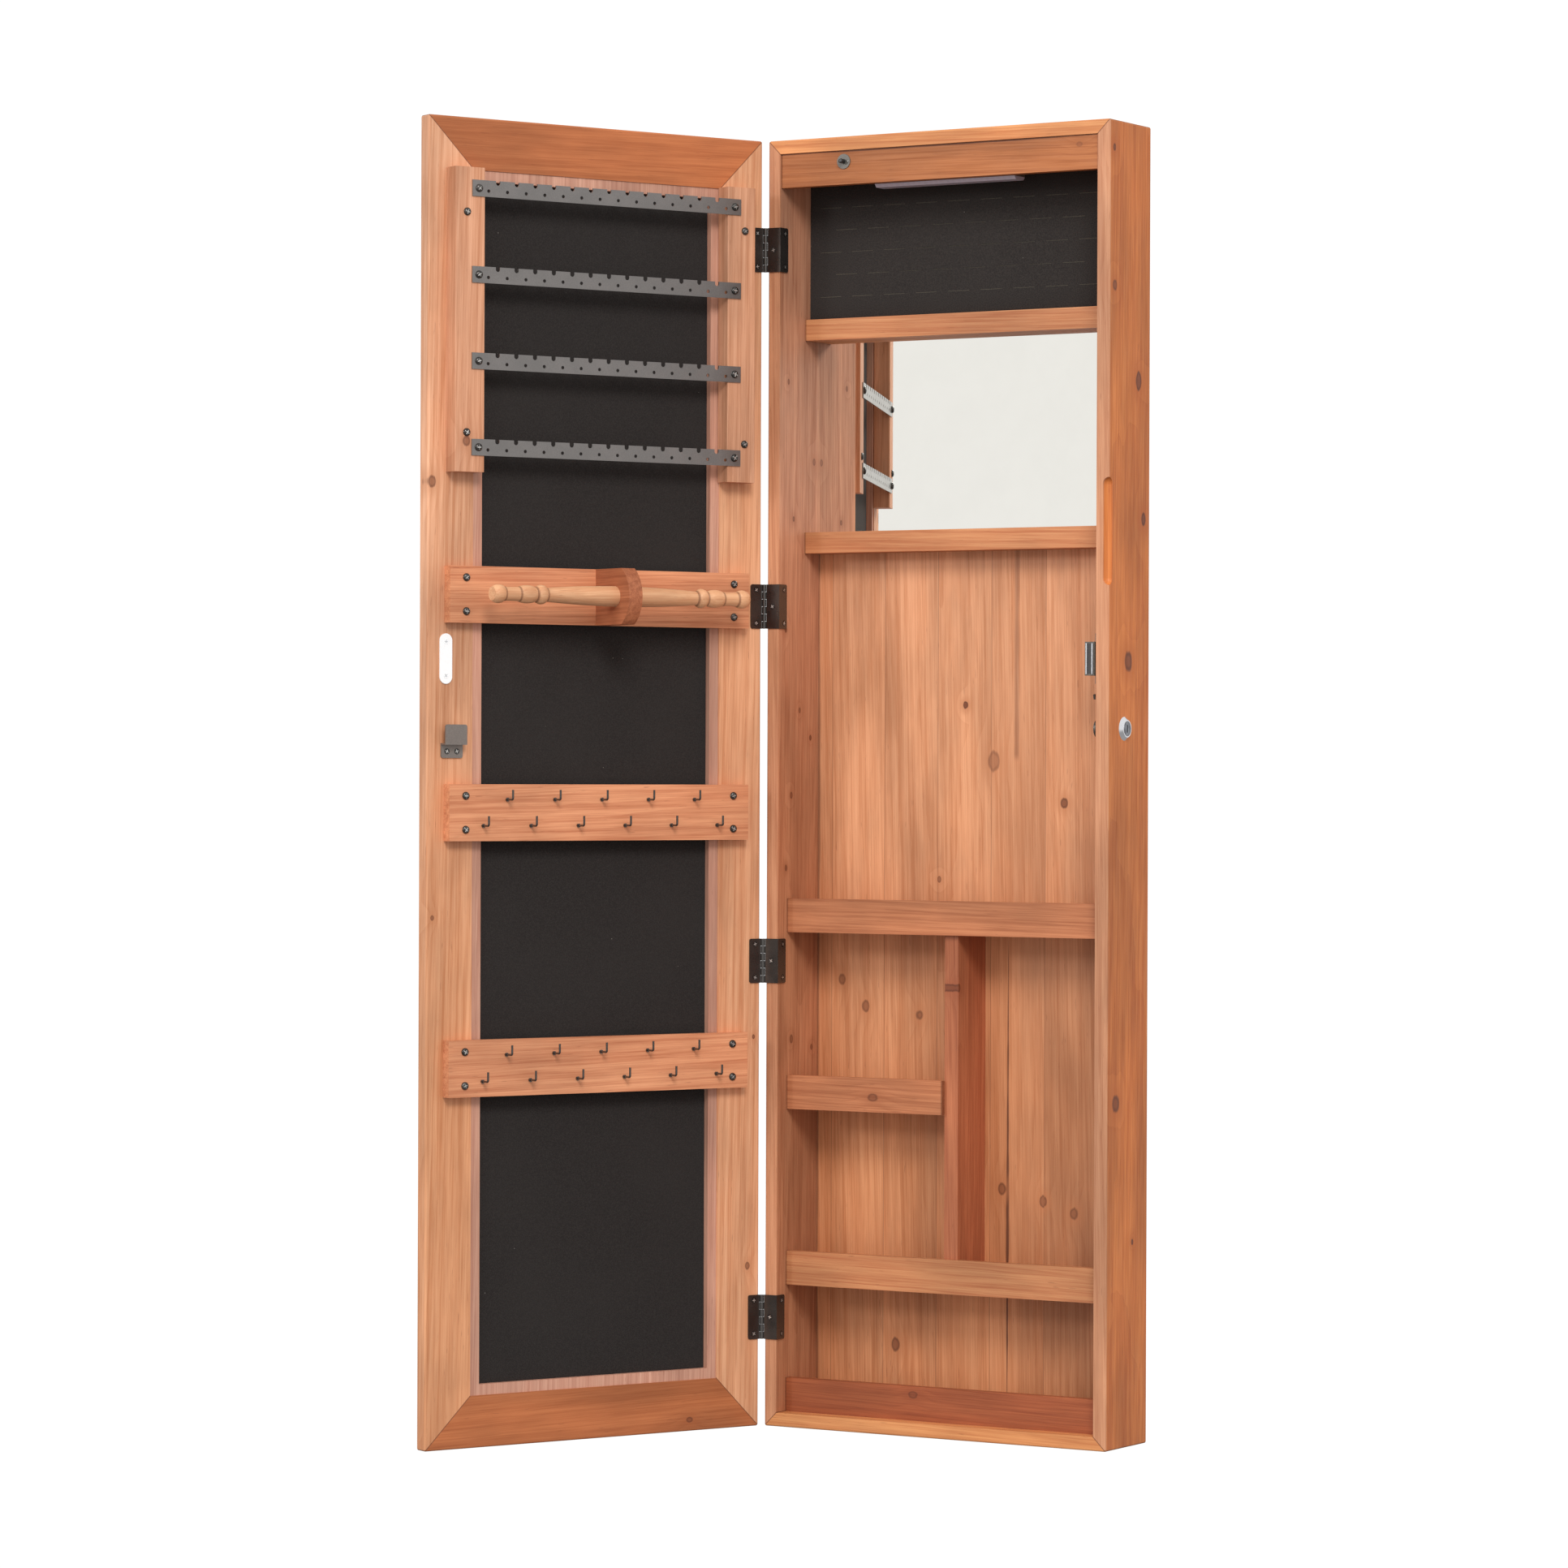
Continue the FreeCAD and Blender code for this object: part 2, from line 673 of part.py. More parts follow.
def flatScrew(head, direction):
    headHeight = min(val("leafThick"), val("flatScrewRadius") - val("screwShankRadius"))
    return screw(head, direction, val("flatScrewRadius"), headHeight, val("flatScrewLength"), True)


def countersink(head, direction):
    # Clearance for a flat screw through thin metal
    play = val("screwHolePlay")
    hole = disc(val("screwShankRadius") + play, 2 * val("flatScrewLength"),
                head - direction * val("flatScrewLength"), direction)
    wide = val("flatScrewRadius")
    narrow = val("screwShankRadius")
    cone = Part.makeCone(wide + play, narrow + play, wide - narrow, head, direction)
    return hole.fuse(cone)


# Earring rack: two stand-off strips and four punched bars across them
stripFaceY = doorFace + val("stripThick")
stripMiddle = val("width") / 2 - val("stripInset") - val("stripWidth") / 2


def earringStrips():
    strips = []
    for side in (-1, 1):
        low = side * stripMiddle - val("stripWidth") / 2
        strip = slab((low, doorFace, val("stripLow")),
                     (low + val("stripWidth"), stripFaceY, val("stripHigh")))
        front = [edge for edge in strip.Edges if edge.BoundBox.YMin > doorFace + val("edgeRound")]
        upright = [edge for edge in front if edge.BoundBox.ZLength > val("stripThick")]
        strips.append(strip.makeFillet(val("edgeRound") / 2, upright))
    return group(strips)


def barHeights():
    return [val("barTop") - val("barPitch") * index for index in range(int(val("barCount")))]


def earringBars():
    half = val("barLength") / 2
    tall = val("barHeight") / 2
    blank = slab((-half, stripFaceY, -tall), (half, stripFaceY + val("barThick"), tall))
    count = int(val("barHoleCount"))
    start = -val("barHolePitch") * (count - 1) / 2
    through = 2 * val("barThick")
    below = stripFaceY - val("barThick") / 2
    pitch = val("barHolePitch")
    holes = [disc(val("barHoleRadius"), through, Vector(start + pitch * i, below, -val("barHoleDrop")), Yaxis)
             for i in range(count)]
    notchZ = tall - val("barNotchDepth")
    notch = val("barNotchRadius")
    for i in range(count - 1):
        x = start + pitch * (i + 0.5)
        holes.append(disc(notch, through, Vector(x, below, notchZ), Yaxis))
        holes.append(slab((x - notch, below, notchZ), (x + notch, below + through, tall + notch)))
    ends = half - val("barScrewInset")
    holes += [disc(val("screwShankRadius") + val("screwHolePlay"), through, Vector(x, below, 0), Yaxis)
              for x in (-ends, ends)]
    bar = blank.cut(holes)
    return group([bar.translated(Vector(0, 0, z)) for z in barHeights()])


def earringScrews():
    ends = val("barLength") / 2 - val("barScrewInset")
    face = stripFaceY + val("barThick")
    screws = [panScrew(Vector(x, face, z), -Yaxis, val("barScrewLength"))
              for z in barHeights() for x in (-ends, ends)]
    outer = val("width") / 2 - val("stripInset") - val("stripScrewInset")
    screws += [panScrew(Vector(x, stripFaceY, z), -Yaxis, val("stripScrewLength"))
               for z in (val("stripScrewHigh"), val("stripScrewLow")) for x in (-outer, outer)]
    return group(screws)


solidNode("earring_strips", earringStrips(), True)
solidNode("earring_bars", earringBars(), True)
solidNode("earring_screws", earringScrews(), True)


# Three boards across the door: one carries the bracelet rod, two carry hooks
boardFaceY = doorFace + val("boardThick")
boardCenters = {"bracelet_board": "braceletZ", "hook_board_upper": "hookUpperZ",
                "hook_board_lower": "hookLowerZ"}
boardLow = "(dim.boardX - dim.boardLength / 2)"
boardHigh = "(dim.boardX + dim.boardLength / 2)"
for name, center in boardCenters.items():
    publish(block(name, (boardLow, boardHigh), (doorFaceY, f"{doorFaceY} + dim.boardThick"),
                  (f"dim.{center} - dim.boardHeight / 2", f"dim.{center} + dim.boardHeight / 2"), True), name)


def boardScrews():
    ends = val("boardLength") / 2 - val("boardScrewInset")
    spread = val("boardScrewSpread") / 2
    spots = [Vector(val("boardX") + x, boardFaceY, val(center) + z)
             for center in boardCenters.values() for x in (-ends, ends) for z in (-spread, spread)]
    return group([panScrew(spot, -Yaxis, val("boardScrewLength")) for spot in spots])


solidNode("board_screws", boardScrews(), True)


def hook(base):
    # Bent wire: out of the board, round a small bend and up, with a shallow collar at the board
    wire = val("hookWire")
    bend = val("hookBend")
    start = base - Yaxis * val("hookBury")
    corner = base + Yaxis * (val("hookReach") - wire)
    turnIn = corner - Yaxis * bend
    turnOut = corner + Zaxis * bend
    middle = turnIn + Zaxis * bend + (Yaxis - Zaxis) * (bend * math.sin(math.pi / 4))
    path = Part.Wire([Part.LineSegment(start, turnIn).toShape(), Part.Arc(turnIn, middle, turnOut).toShape(),
                      Part.LineSegment(turnOut, corner + Zaxis * val("hookRise")).toShape()])
    section = Part.Wire(Part.Circle(start, Yaxis, wire).toShape())
    collar = disc(val("hookCollarRadius"), val("hookCollarLength"), base, Yaxis)
    return path.makePipeShell([section], True, True).fuse(collar)


def hooks(center):
    placed = []
    for count, lift in ((int(val("hookUpperCount")), 0.5), (int(val("hookLowerCount")), -0.5)):
        start = val("boardX") - val("hookPitch") * (count - 1) / 2
        for index in range(count):
            x = start + val("hookPitch") * index
            placed.append(hook(Vector(x, boardFaceY, center + val("hookSpread") * lift)))
    return group(placed)


solidNode("hooks_upper", hooks(val("hookUpperZ")), True)
solidNode("hooks_lower", hooks(val("hookLowerZ")), True)


# Bracelet bracket with a bowed nose, and the turned rod through it
rodCenter = Vector(val("boardX"), boardFaceY + val("rodReach"), val("braceletZ"))


def rodRadiusAt(offset):
    turned = val("rodRingWidth") + val("rodSwellWidth") + val("rodNeckWidth") + val("rodKnobWidth")
    taper = val("rodLength") / 2 - turned
    return val("rodRadius") - (val("rodRadius") - val("rodWaist")) * (offset / taper) ** 2


def braceletBracket():
    half = val("boardHeight") / 2
    shoulder = boardFaceY + val("bracketReach") - val("bracketNose")
    x = val("boardX") - val("bracketThick") / 2
    corners = [Vector(x, boardFaceY, val("braceletZ") - half), Vector(x, shoulder, val("braceletZ") - half),
               Vector(x, boardFaceY + val("bracketReach"), val("braceletZ")),
               Vector(x, shoulder, val("braceletZ") + half), Vector(x, boardFaceY, val("braceletZ") + half)]
    outline = Part.Wire([Part.LineSegment(corners[0], corners[1]).toShape(),
                         Part.Arc(corners[1], corners[2], corners[3]).toShape(),
                         Part.LineSegment(corners[3], corners[4]).toShape(),
                         Part.LineSegment(corners[4], corners[0]).toShape()])
    blank = Part.Face(outline).extrude(Xaxis * val("bracketThick"))
    bore = disc(val("rodRadius") + val("rodPlay"), 2 * val("bracketThick"),
                rodCenter - Xaxis * val("bracketThick"), Xaxis)
    return blank.cut(bore)


def rodOutline():
    # Half outline along the rod: bowed shaft, ring, swell, neck and end knob
    half = val("rodLength") / 2
    knob = half - val("rodKnobWidth")
    neck = knob - val("rodNeckWidth")
    swell = neck - val("rodSwellWidth")
    ring = swell - val("rodRingWidth")
    waist = val("rodWaist")
    shaft = [(0, val("rodRadius")), (ring / 2, rodRadiusAt(ring / 2)), (ring, waist)]
    ringArc = [(ring, waist), ((ring + swell) / 2, val("rodRingRadius")), (swell, waist)]
    swellArc = [(swell, waist), ((swell + neck) / 2, val("rodSwellRadius")), (neck, val("rodNeckRadius"))]
    neckArc = [(neck, val("rodNeckRadius")), ((neck + knob) / 2, waist), (knob, val("rodNeckRadius"))]
    knobArc = [(knob, val("rodNeckRadius")), ((knob + half) / 2, val("rodKnobRadius")), (half, waist)]
    return [shaft, ringArc, swellArc, neckArc, knobArc]


def braceletRod():
    edges = []
    tips = []
    for side in (1, -1):
        for arc in rodOutline():
            points = [rodCenter + Vector(side * x, radius, 0) for x, radius in arc]
            edges.append(Part.Arc(*points).toShape())
        tip = rodCenter + Xaxis * (side * val("rodLength") / 2)
        edges.append(Part.LineSegment(tip + Yaxis * val("rodWaist"), tip).toShape())
        tips.append(tip)
    edges.append(Part.LineSegment(*tips).toShape())
    face = Part.Face(Part.Wire(Part.__sortEdges__(edges)))
    return face.revolve(rodCenter, Xaxis, 360)


solidNode("bracelet_bracket", braceletBracket(), True)
solidNode("bracelet_rod", braceletRod(), True)


# Hinges: bent cabinet leaves, flat door leaves and the pins between them
hingeHeights = [val("hingeOuterZ"), val("hingeInnerZ"), -val("hingeInnerZ"), -val("hingeOuterZ")]
leafStart = hingePin.x + val("knuckleRadius") + val("knuckleGap")
leafEnd = -wallInside + val("leafThick")


def knuckles(plate, low, first, leafLow):
    # Every other knuckle along the pin, each with the tab that joins it to its leaf
    pitch = val("hingeHeight") / val("knuckleCount")
    gap = val("knuckleGap") / 2
    thick = val("leafThick")
    pieces = []
    for index in range(first, int(val("knuckleCount")), 2):
        z = low + pitch * index + gap
        tall = pitch - 2 * gap
        pieces.append(disc(val("knuckleRadius"), tall, Vector(hingePin.x, hingePin.y, z), Zaxis))
        pieces.append(slab((hingePin.x, leafLow, z), (leafStart + thick, leafLow + thick, z + tall)))
    bore = disc(val("pinRadius") + val("pinPlay"), 2 * val("hingeHeight"),
                Vector(hingePin.x, hingePin.y, low - val("hingeHeight") / 2), Zaxis)
    return plate.fuse(pieces).removeSplitter().cut(bore)


def softCorners(plate, test):
    return plate.makeFillet(val("leafCorner"), [edge for edge in plate.Edges if test(edge)])


def cabinetScrewSpots(center):
    third = val("hingeHeight") / 2 - val("flatScrewRadius") * 2
    front = Vector(-val("width") / 2 + val("wall") / 2, cabinetFront - val("leafThick"), center)
    flangeY = cabinetFront + val("flangeDepth") - 2 * val("flatScrewRadius")
    inside = [Vector(leafEnd, flangeY, center + z) for z in (-third, third)]
    return [(front, Yaxis)] + [(spot, -Xaxis) for spot in inside]


def cabinetLeaf(center):
    low = center - val("hingeHeight") / 2
    high = center + val("hingeHeight") / 2
    thick = val("leafThick")
    front = slab((leafStart, cabinetFront - thick, low), (leafEnd, cabinetFront, high))
    flange = slab((-wallInside, cabinetFront - thick, low),
                  (leafEnd, cabinetFront + val("flangeDepth"), high))
    flange = softCorners(flange, lambda edge: edge.BoundBox.YMin > cabinetFront + val("leafCorner")
                         and edge.BoundBox.XLength > thick / 2)
    leaf = knuckles(front.fuse(flange).removeSplitter(), low, 0, cabinetFront - thick)
    return leaf.cut([countersink(spot, direction) for spot, direction in cabinetScrewSpots(center)])


def doorScrewSpots(center):
    third = val("hingeHeight") / 2 - val("flatScrewRadius") * 2
    x = -val("width") / 2 + val("leafWidth") / 2
    return [(Vector(x, doorFace + val("leafThick"), center + z), -Yaxis) for z in (-third, third)]


def doorLeaf(center):
    low = center - val("hingeHeight") / 2
    high = center + val("hingeHeight") / 2
    end = -val("width") / 2 + val("leafWidth")
    plate = slab((leafStart, doorFace, low), (end, doorFace + val("leafThick"), high))
    plate = softCorners(plate, lambda edge: edge.BoundBox.XMin > end - val("leafCorner")
                        and edge.BoundBox.YLength > val("leafThick") / 2)
    leaf = knuckles(plate, low, 1, doorFace)
    return leaf.cut([countersink(spot, direction) for spot, direction in doorScrewSpots(center)])


solidNode("hinge_cabinet_leaves", group([cabinetLeaf(z) for z in hingeHeights]))
solidNode("hinge_door_leaves", group([doorLeaf(z) for z in hingeHeights]), True)
solidNode("hinge_pins", group([disc(val("pinRadius"), val("hingeHeight"),
                                    Vector(hingePin.x, hingePin.y, z - val("hingeHeight") / 2), Zaxis)
                               for z in hingeHeights]))


# Magnetic catch inside the right wall, and the strike plate on the door
catchFace = doorFace + val("strikeThick") + val("poleGap")
catchFront = catchFace + val("poleThick")
catchInside = wallInside - val("catchPlateThick")
catchLow = catchInside - val("catchBodyThick")


def catchHousing():
    half = val("catchBodyLength") / 2
    shell = val("catchShell")
    z = val("catchZ")
    body = slab((catchLow, catchFront, z - half), (catchInside, catchFront + val("catchBodyDepth"), z + half))
    plate = slab((catchInside, cabinetFront + shell, z - val("catchPlateLength") / 2),
                 (wallInside, catchFront + val("catchBodyDepth"), z + val("catchPlateLength") / 2))
    well = slab((catchLow + shell, catchFront - shell, z - half + shell),
                (catchInside - shell, catchFront + val("catchBodyDepth") - shell, z + half - shell))
    return body.fuse(plate).removeSplitter().cut(well)


def catchWell(side):
    # Left and right walls of the well, from which the pole plates and the magnet take their places
    shell = val("catchShell")
    return catchLow + shell if side < 0 else catchInside - shell


def catchPoles():
    half = val("catchBodyLength") / 2 - val("catchShell")
    z = val("catchZ")
    back = catchFront + val("catchBodyDepth") - val("catchShell")
    poles = []
    for side in (-1, 1):
        wall = catchWell(side)
        edges = sorted((wall, wall - side * val("poleThick")))
        poles.append(slab((edges[0], catchFace, z - half), (edges[1], back, z + half)))
    return group(poles)


def catchMagnet():
    half = val("catchBodyLength") / 2 - val("catchShell")
    z = val("catchZ")
    back = catchFront + val("catchBodyDepth") - val("catchShell")
    thick = val("poleThick")
    return slab((catchWell(-1) + thick, catchFront, z - half), (catchWell(1) - thick, back, z + half))


def catchScrewSpots():
    spread = (val("catchPlateLength") + val("catchBodyLength")) / 4
    y = catchFront + val("catchBodyDepth") / 2
    return [(Vector(catchInside, y, val("catchZ") + z), Xaxis) for z in (-spread, spread)]


solidNode("catch_housing", catchHousing().cut([countersink(spot, way) for spot, way in catchScrewSpots()]))
solidNode("catch_poles", catchPoles())
solidNode("catch_magnet", catchMagnet())

strikeX = val("width") / 2 - val("strikeInset") - val("strikeWidth") / 2
strikeSpots = [(Vector(strikeX, doorFace + val("strikeThick"), val("strikeZ") + z), -Yaxis)
               for z in (-val("strikeScrewSpread") / 2, val("strikeScrewSpread") / 2)]


def strikePlate():
    radius = val("strikeWidth") / 2
    outline = capsuleFace(Vector(strikeX, doorFace, val("strikeZ")), val("strikeLength") / 2 - radius, radius)
    plate = outline.extrude(Yaxis * val("strikeThick"))
    return plate.cut([countersink(spot, way) for spot, way in strikeSpots])


solidNode("strike_plate", strikePlate(), True)


# Cam lock through the right wall, and the keeper on the door that its claw hooks behind
lockCenter = Vector(val("width") / 2, cabinetFront + val("lockSetback"), val("lockZ"))
barrelEnd = lockCenter - Xaxis * val("lockBarrelLength")


def lockHousing():
    bezel = val("plugFaceRadius") + val("lockFaceRim")
    face = Part.makeCone(val("lockFaceRadius"), bezel, val("lockFaceThick"), lockCenter, Xaxis)
    barrel = disc(val("lockBarrelRadius"), val("lockBarrelLength"), barrelEnd, Xaxis)
    bore = disc(val("plugRadius") + val("plugPlay"), 2 * val("lockBarrelLength"), barrelEnd - Xaxis, Xaxis)
    seat = disc(val("plugFaceRadius") + val("plugPlay"), val("lockFaceThick"),
                lockCenter + Xaxis * (val("lockFaceThick") - val("plugFaceThick")), Xaxis)
    return face.fuse(barrel).removeSplitter().cut([bore, seat])


def lockNut():
    across = val("lockNutAcross") / math.sqrt(3)
    start = lockCenter - Xaxis * (val("wall") + val("lockNutThick"))
    turns = [math.radians(60 * i) for i in range(6)]
    corners = [start + Vector(0, across * math.cos(turn), across * math.sin(turn)) for turn in turns]
    nut = Part.Face(Part.makePolygon(corners + corners[:1])).extrude(Xaxis * val("lockNutThick"))
    return nut.cut(disc(val("lockBarrelRadius") + val("lockPlay"), 3 * val("lockNutThick"),
                        start - Xaxis * val("lockNutThick"), Xaxis))


def lockPlug():
    length = val("lockBarrelLength") + val("lockFaceThick") - val("plugFaceThick")
    stem = disc(val("plugRadius"), length + val("pinPlay"), barrelEnd - Xaxis * val("pinPlay"), Xaxis)
    face = disc(val("plugFaceRadius"), val("plugFaceThick"),
                lockCenter + Xaxis * (val("lockFaceThick") - val("plugFaceThick") + val("pinPlay")), Xaxis)
    outer = lockCenter + Xaxis * (val("lockFaceThick") + val("pinPlay"))
    halfWide = val("keySlotWidth") / 2
    halfTall = val("keySlotLength") / 2
    slot = slab((outer.x - val("keySlotDepth"), outer.y - halfWide, outer.z - halfTall),
                (outer.x + halfWide, outer.y + halfWide, outer.z + halfTall))
    return stem.fuse(face).removeSplitter().cut(slot)


camFace = barrelEnd - Xaxis * (val("pinPlay") + val("camThick"))


def lockCam():
    # Hook cam, drawn locked towards the door and turned up to its unlocked rest
    thick = val("camThick")
    hub = disc(val("camHubRadius"), thick, camFace, Xaxis)
    middle = (val("camClawInner") + val("camClawOuter")) / 2
    arm = slab((camFace.x, camFace.y - middle, camFace.z + val("camArmLow")),
               (camFace.x + thick, camFace.y, camFace.z + val("camArmHigh")))
    rim = disc(val("camClawOuter"), thick, camFace, Xaxis)
    ring = rim.cut(disc(val("camClawInner"), thick, camFace, Xaxis))
    sweep = math.radians(val("camClawAngle"))
    reach = 2 * val("camClawOuter")
    wedge = [camFace, camFace + Vector(0, -reach * math.cos(sweep), -reach * math.sin(sweep)),
             camFace + Vector(0, -reach * math.cos(sweep), reach * math.sin(sweep))]
    claw = ring.common(Part.Face(Part.makePolygon(wedge + wedge[:1])).extrude(Xaxis * thick))
    cam = hub.fuse([arm, claw]).removeSplitter()
    bore = disc(val("screwShankRadius") + val("screwHolePlay"), 3 * thick, camFace - Xaxis * thick, Xaxis)
    cam = cam.cut(bore)
    cam.rotate(camFace, Xaxis, -90)
    return cam


def camScrew():
    head = disc(val("camScrewRadius"), val("camScrewThick"), camFace - Xaxis * val("camScrewThick"), Xaxis)
    shank = disc(val("screwShankRadius"), val("camThick"), camFace, Xaxis)
    return head.fuse(shank).removeSplitter()


solidNode("lock_housing", lockHousing())
solidNode("lock_nut", lockNut())
solidNode("lock_plug", lockPlug())
solidNode("lock_cam", lockCam())
solidNode("cam_screw", camScrew())

keeperRight = wallInside - val("keeperPlay")
keeperLeft = keeperRight - val("keeperWidth")
keeperMiddle = Vector((keeperLeft + keeperRight) / 2, doorFace + val("keeperThick"),
                      val("keeperLow") + val("keeperBaseHeight") / 2)
keeperSpots = [(keeperMiddle + Xaxis * (side * val("keeperScrewSpread") / 2), -Yaxis) for side in (-1, 1)]


def lockKeeper():
    # Z-bracket: base on the door, a step outwards and a flange standing up clear of the door
    thick = val("keeperThick")
    step = val("keeperLow") + val("keeperBaseHeight")
    base = slab((keeperLeft, doorFace, val("keeperLow")), (keeperRight, doorFace + thick, step + thick))
    web = slab((keeperLeft, doorFace, step), (keeperRight, doorFace + val("keeperStand"), step + thick))
    flange = slab((keeperLeft, doorFace + val("keeperStand") - thick, step),
                  (keeperRight, doorFace + val("keeperStand"), step + val("keeperFlangeHeight")))
    bracket = base.fuse([web, flange]).removeSplitter()
    corners = [edge for edge in bracket.Edges if edge.BoundBox.YLength > thick / 2
               and edge.BoundBox.ZLength < thick / 2 and edge.BoundBox.XLength < thick / 2
               and (edge.BoundBox.ZMin > step + val("keeperFlangeHeight") - thick / 2
                    or edge.BoundBox.ZMax < val("keeperLow") + thick / 2)]
    softened = bracket.makeFillet(val("leafCorner"), corners)
    return softened.cut([countersink(spot, way) for spot, way in keeperSpots])


solidNode("lock_keeper", lockKeeper(), True)


# Flat screws of the door hardware and of the cabinet hardware
def doorHardwareScrews():
    spots = [spot for z in hingeHeights for spot in doorScrewSpots(z)] + strikeSpots + keeperSpots
    return group([flatScrew(spot, way) for spot, way in spots])


def cabinetHardwareScrews():
    spots = [spot for z in hingeHeights for spot in cabinetScrewSpots(z)] + catchScrewSpots()
    return group([flatScrew(spot, way) for spot, way in spots])


solidNode("door_hardware_screws", doorHardwareScrews(), True)
solidNode("cabinet_hardware_screws", cabinetHardwareScrews())


# Keyhole hanger plates in their seats in the back panel, and their screws
def hangerPlates():
    plates = []
    for side in (-1, 1):
        x = side * val("hangerSpread") / 2
        z = val("hangerZ")
        plate = slab((x - val("hangerWidth") / 2, -val("hangerThick"), z - val("hangerHeight") / 2),
                     (x + val("hangerWidth") / 2, 0, z + val("hangerHeight") / 2))
        start = Vector(x, -2 * val("hangerThick"), z)
        hole = disc(val("hangerHoleRadius"), 4 * val("hangerThick"), start, Yaxis)
        narrow = val("hangerSlotRadius")
        rise = val("hangerSlotRise")
        slot = slab((x - narrow, start.y, z), (x + narrow, -start.y, z + rise))
        end = disc(narrow, 4 * val("hangerThick"), start + Zaxis * rise, Yaxis)
        screwHoles = [countersink(spot, way) for spot, way in hangerSpots(x)]
        plates.append(plate.cut([hole, slot, end] + screwHoles))
    return group(plates)


def hangerSpots(x):
    return [(Vector(x, 0, val("hangerZ") + rise), -Yaxis)
            for rise in (-val("hangerScrewSpread") / 2, val("hangerScrewSpread") / 2)]


def hangerScrews():
    spots = [spot for side in (-1, 1) for spot in hangerSpots(side * val("hangerSpread") / 2)]
    headHeight = val("flatScrewRadius") - val("screwShankRadius")
    return group([screw(spot, way, val("flatScrewRadius"), headHeight, val("hangerScrewLength"), True)
                  for spot, way in spots])


solidNode("hanger_plates", hangerPlates())
solidNode("hanger_screws", hangerScrews())


# Check every object, then write one file for each piece
doc.recompute()
failed = [obj.Label for obj in doc.Objects if "Invalid" in obj.State or "Error" in obj.State]
for obj in nodes:
    if obj.Shape.isNull() or not obj.Shape.isValid() or not obj.Shape.Solids:
        failed.append(obj.Label)
if failed:
    raise RuntimeError("failed pieces: " + ", ".join(failed))
os.makedirs("parts", exist_ok=True)
for obj in nodes:
    obj.Shape.exportStep(f"parts/{obj.Label}.step")
print(len(nodes), "pieces written")
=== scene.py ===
import math

import bpy
from mathutils import Matrix, Vector


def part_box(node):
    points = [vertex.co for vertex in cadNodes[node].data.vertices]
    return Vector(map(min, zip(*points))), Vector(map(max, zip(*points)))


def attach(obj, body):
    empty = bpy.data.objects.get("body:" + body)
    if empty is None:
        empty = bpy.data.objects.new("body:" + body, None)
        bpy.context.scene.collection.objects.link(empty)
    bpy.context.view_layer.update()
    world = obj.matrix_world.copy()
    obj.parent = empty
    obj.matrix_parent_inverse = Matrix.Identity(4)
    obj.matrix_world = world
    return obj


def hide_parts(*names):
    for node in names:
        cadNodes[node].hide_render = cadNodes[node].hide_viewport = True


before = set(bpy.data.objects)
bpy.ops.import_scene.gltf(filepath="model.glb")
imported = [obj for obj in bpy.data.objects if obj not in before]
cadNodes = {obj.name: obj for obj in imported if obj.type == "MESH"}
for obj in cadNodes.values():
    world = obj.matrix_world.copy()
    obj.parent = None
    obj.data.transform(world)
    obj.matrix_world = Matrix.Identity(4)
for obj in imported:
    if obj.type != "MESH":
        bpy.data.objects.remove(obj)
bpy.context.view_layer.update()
print("frame loaded:", len(cadNodes), "pieces")

# The door stands open at rest; sizes on it are given in millimetres as if it were closed
doorHang = dict(pin=(-185.4, -82.4), openDegrees=114.6)


def doorMatrix():
    pin = Matrix.Translation((doorHang["pin"][0] / 1000, doorHang["pin"][1] / 1000, 0))
    return pin @ Matrix.Rotation(-math.radians(doorHang["openDegrees"]), 4, "Z") @ pin.inverted()


def srgb(red, green, blue):
    linear = []
    for value in (red, green, blue):
        share = value / 255
        linear.append(share / 12.92 if share <= 0.04045 else ((share + 0.055) / 1.055) ** 2.4)
    return (*linear, 1.0)


# Small helpers that lay out shader nodes
def node(tree, kind, inputs=None, **settings):
    made = tree.nodes.new(kind)
    for key, value in settings.items():
        setattr(made, key, value)
    for key, value in (inputs or {}).items():
        if isinstance(value, bpy.types.NodeSocket):
            tree.links.new(value, made.inputs[key])
        else:
            made.inputs[key].default_value = value
    return made


def maths(tree, operation, first, second=0.0, third=0.0):
    return node(tree, "ShaderNodeMath", {0: first, 1: second, 2: third}, operation=operation).outputs[0]


def smooth(tree, value, low, high, start=0.0, end=1.0):
    ranged = node(tree, "ShaderNodeMapRange", {"Value": value, "From Min": low, "From Max": high,
                                               "To Min": start, "To Max": end}, interpolation_type="SMOOTHSTEP")
    return ranged.outputs[0]


def blendColor(tree, share, first, second, mode="MIX"):
    mix = node(tree, "ShaderNodeMix", data_type="RGBA", blend_type=mode)
    sockets = {"share": mix.inputs[0], "first": mix.inputs[6], "second": mix.inputs[7]}
    for key, value in (("share", share), ("first", first), ("second", second)):
        if isinstance(value, bpy.types.NodeSocket):
            tree.links.new(value, sockets[key])
        else:
            sockets[key].default_value = value
    return mix.outputs[2]


def noise(tree, vector, scale, detail=2.0, roughness=0.5):
    return node(tree, "ShaderNodeTexNoise", {"Vector": vector, "Scale": scale, "Detail": detail,
                                             "Roughness": roughness})


def stretched(tree, vector, scale):
    return node(tree, "ShaderNodeMapping", {"Vector": vector, "Scale": scale}).outputs[0]


def freshMaterial(name):
    material = bpy.data.materials.new(name)
    material.use_nodes = True
    tree = material.node_tree
    return material, tree, tree.nodes["Principled BSDF"]


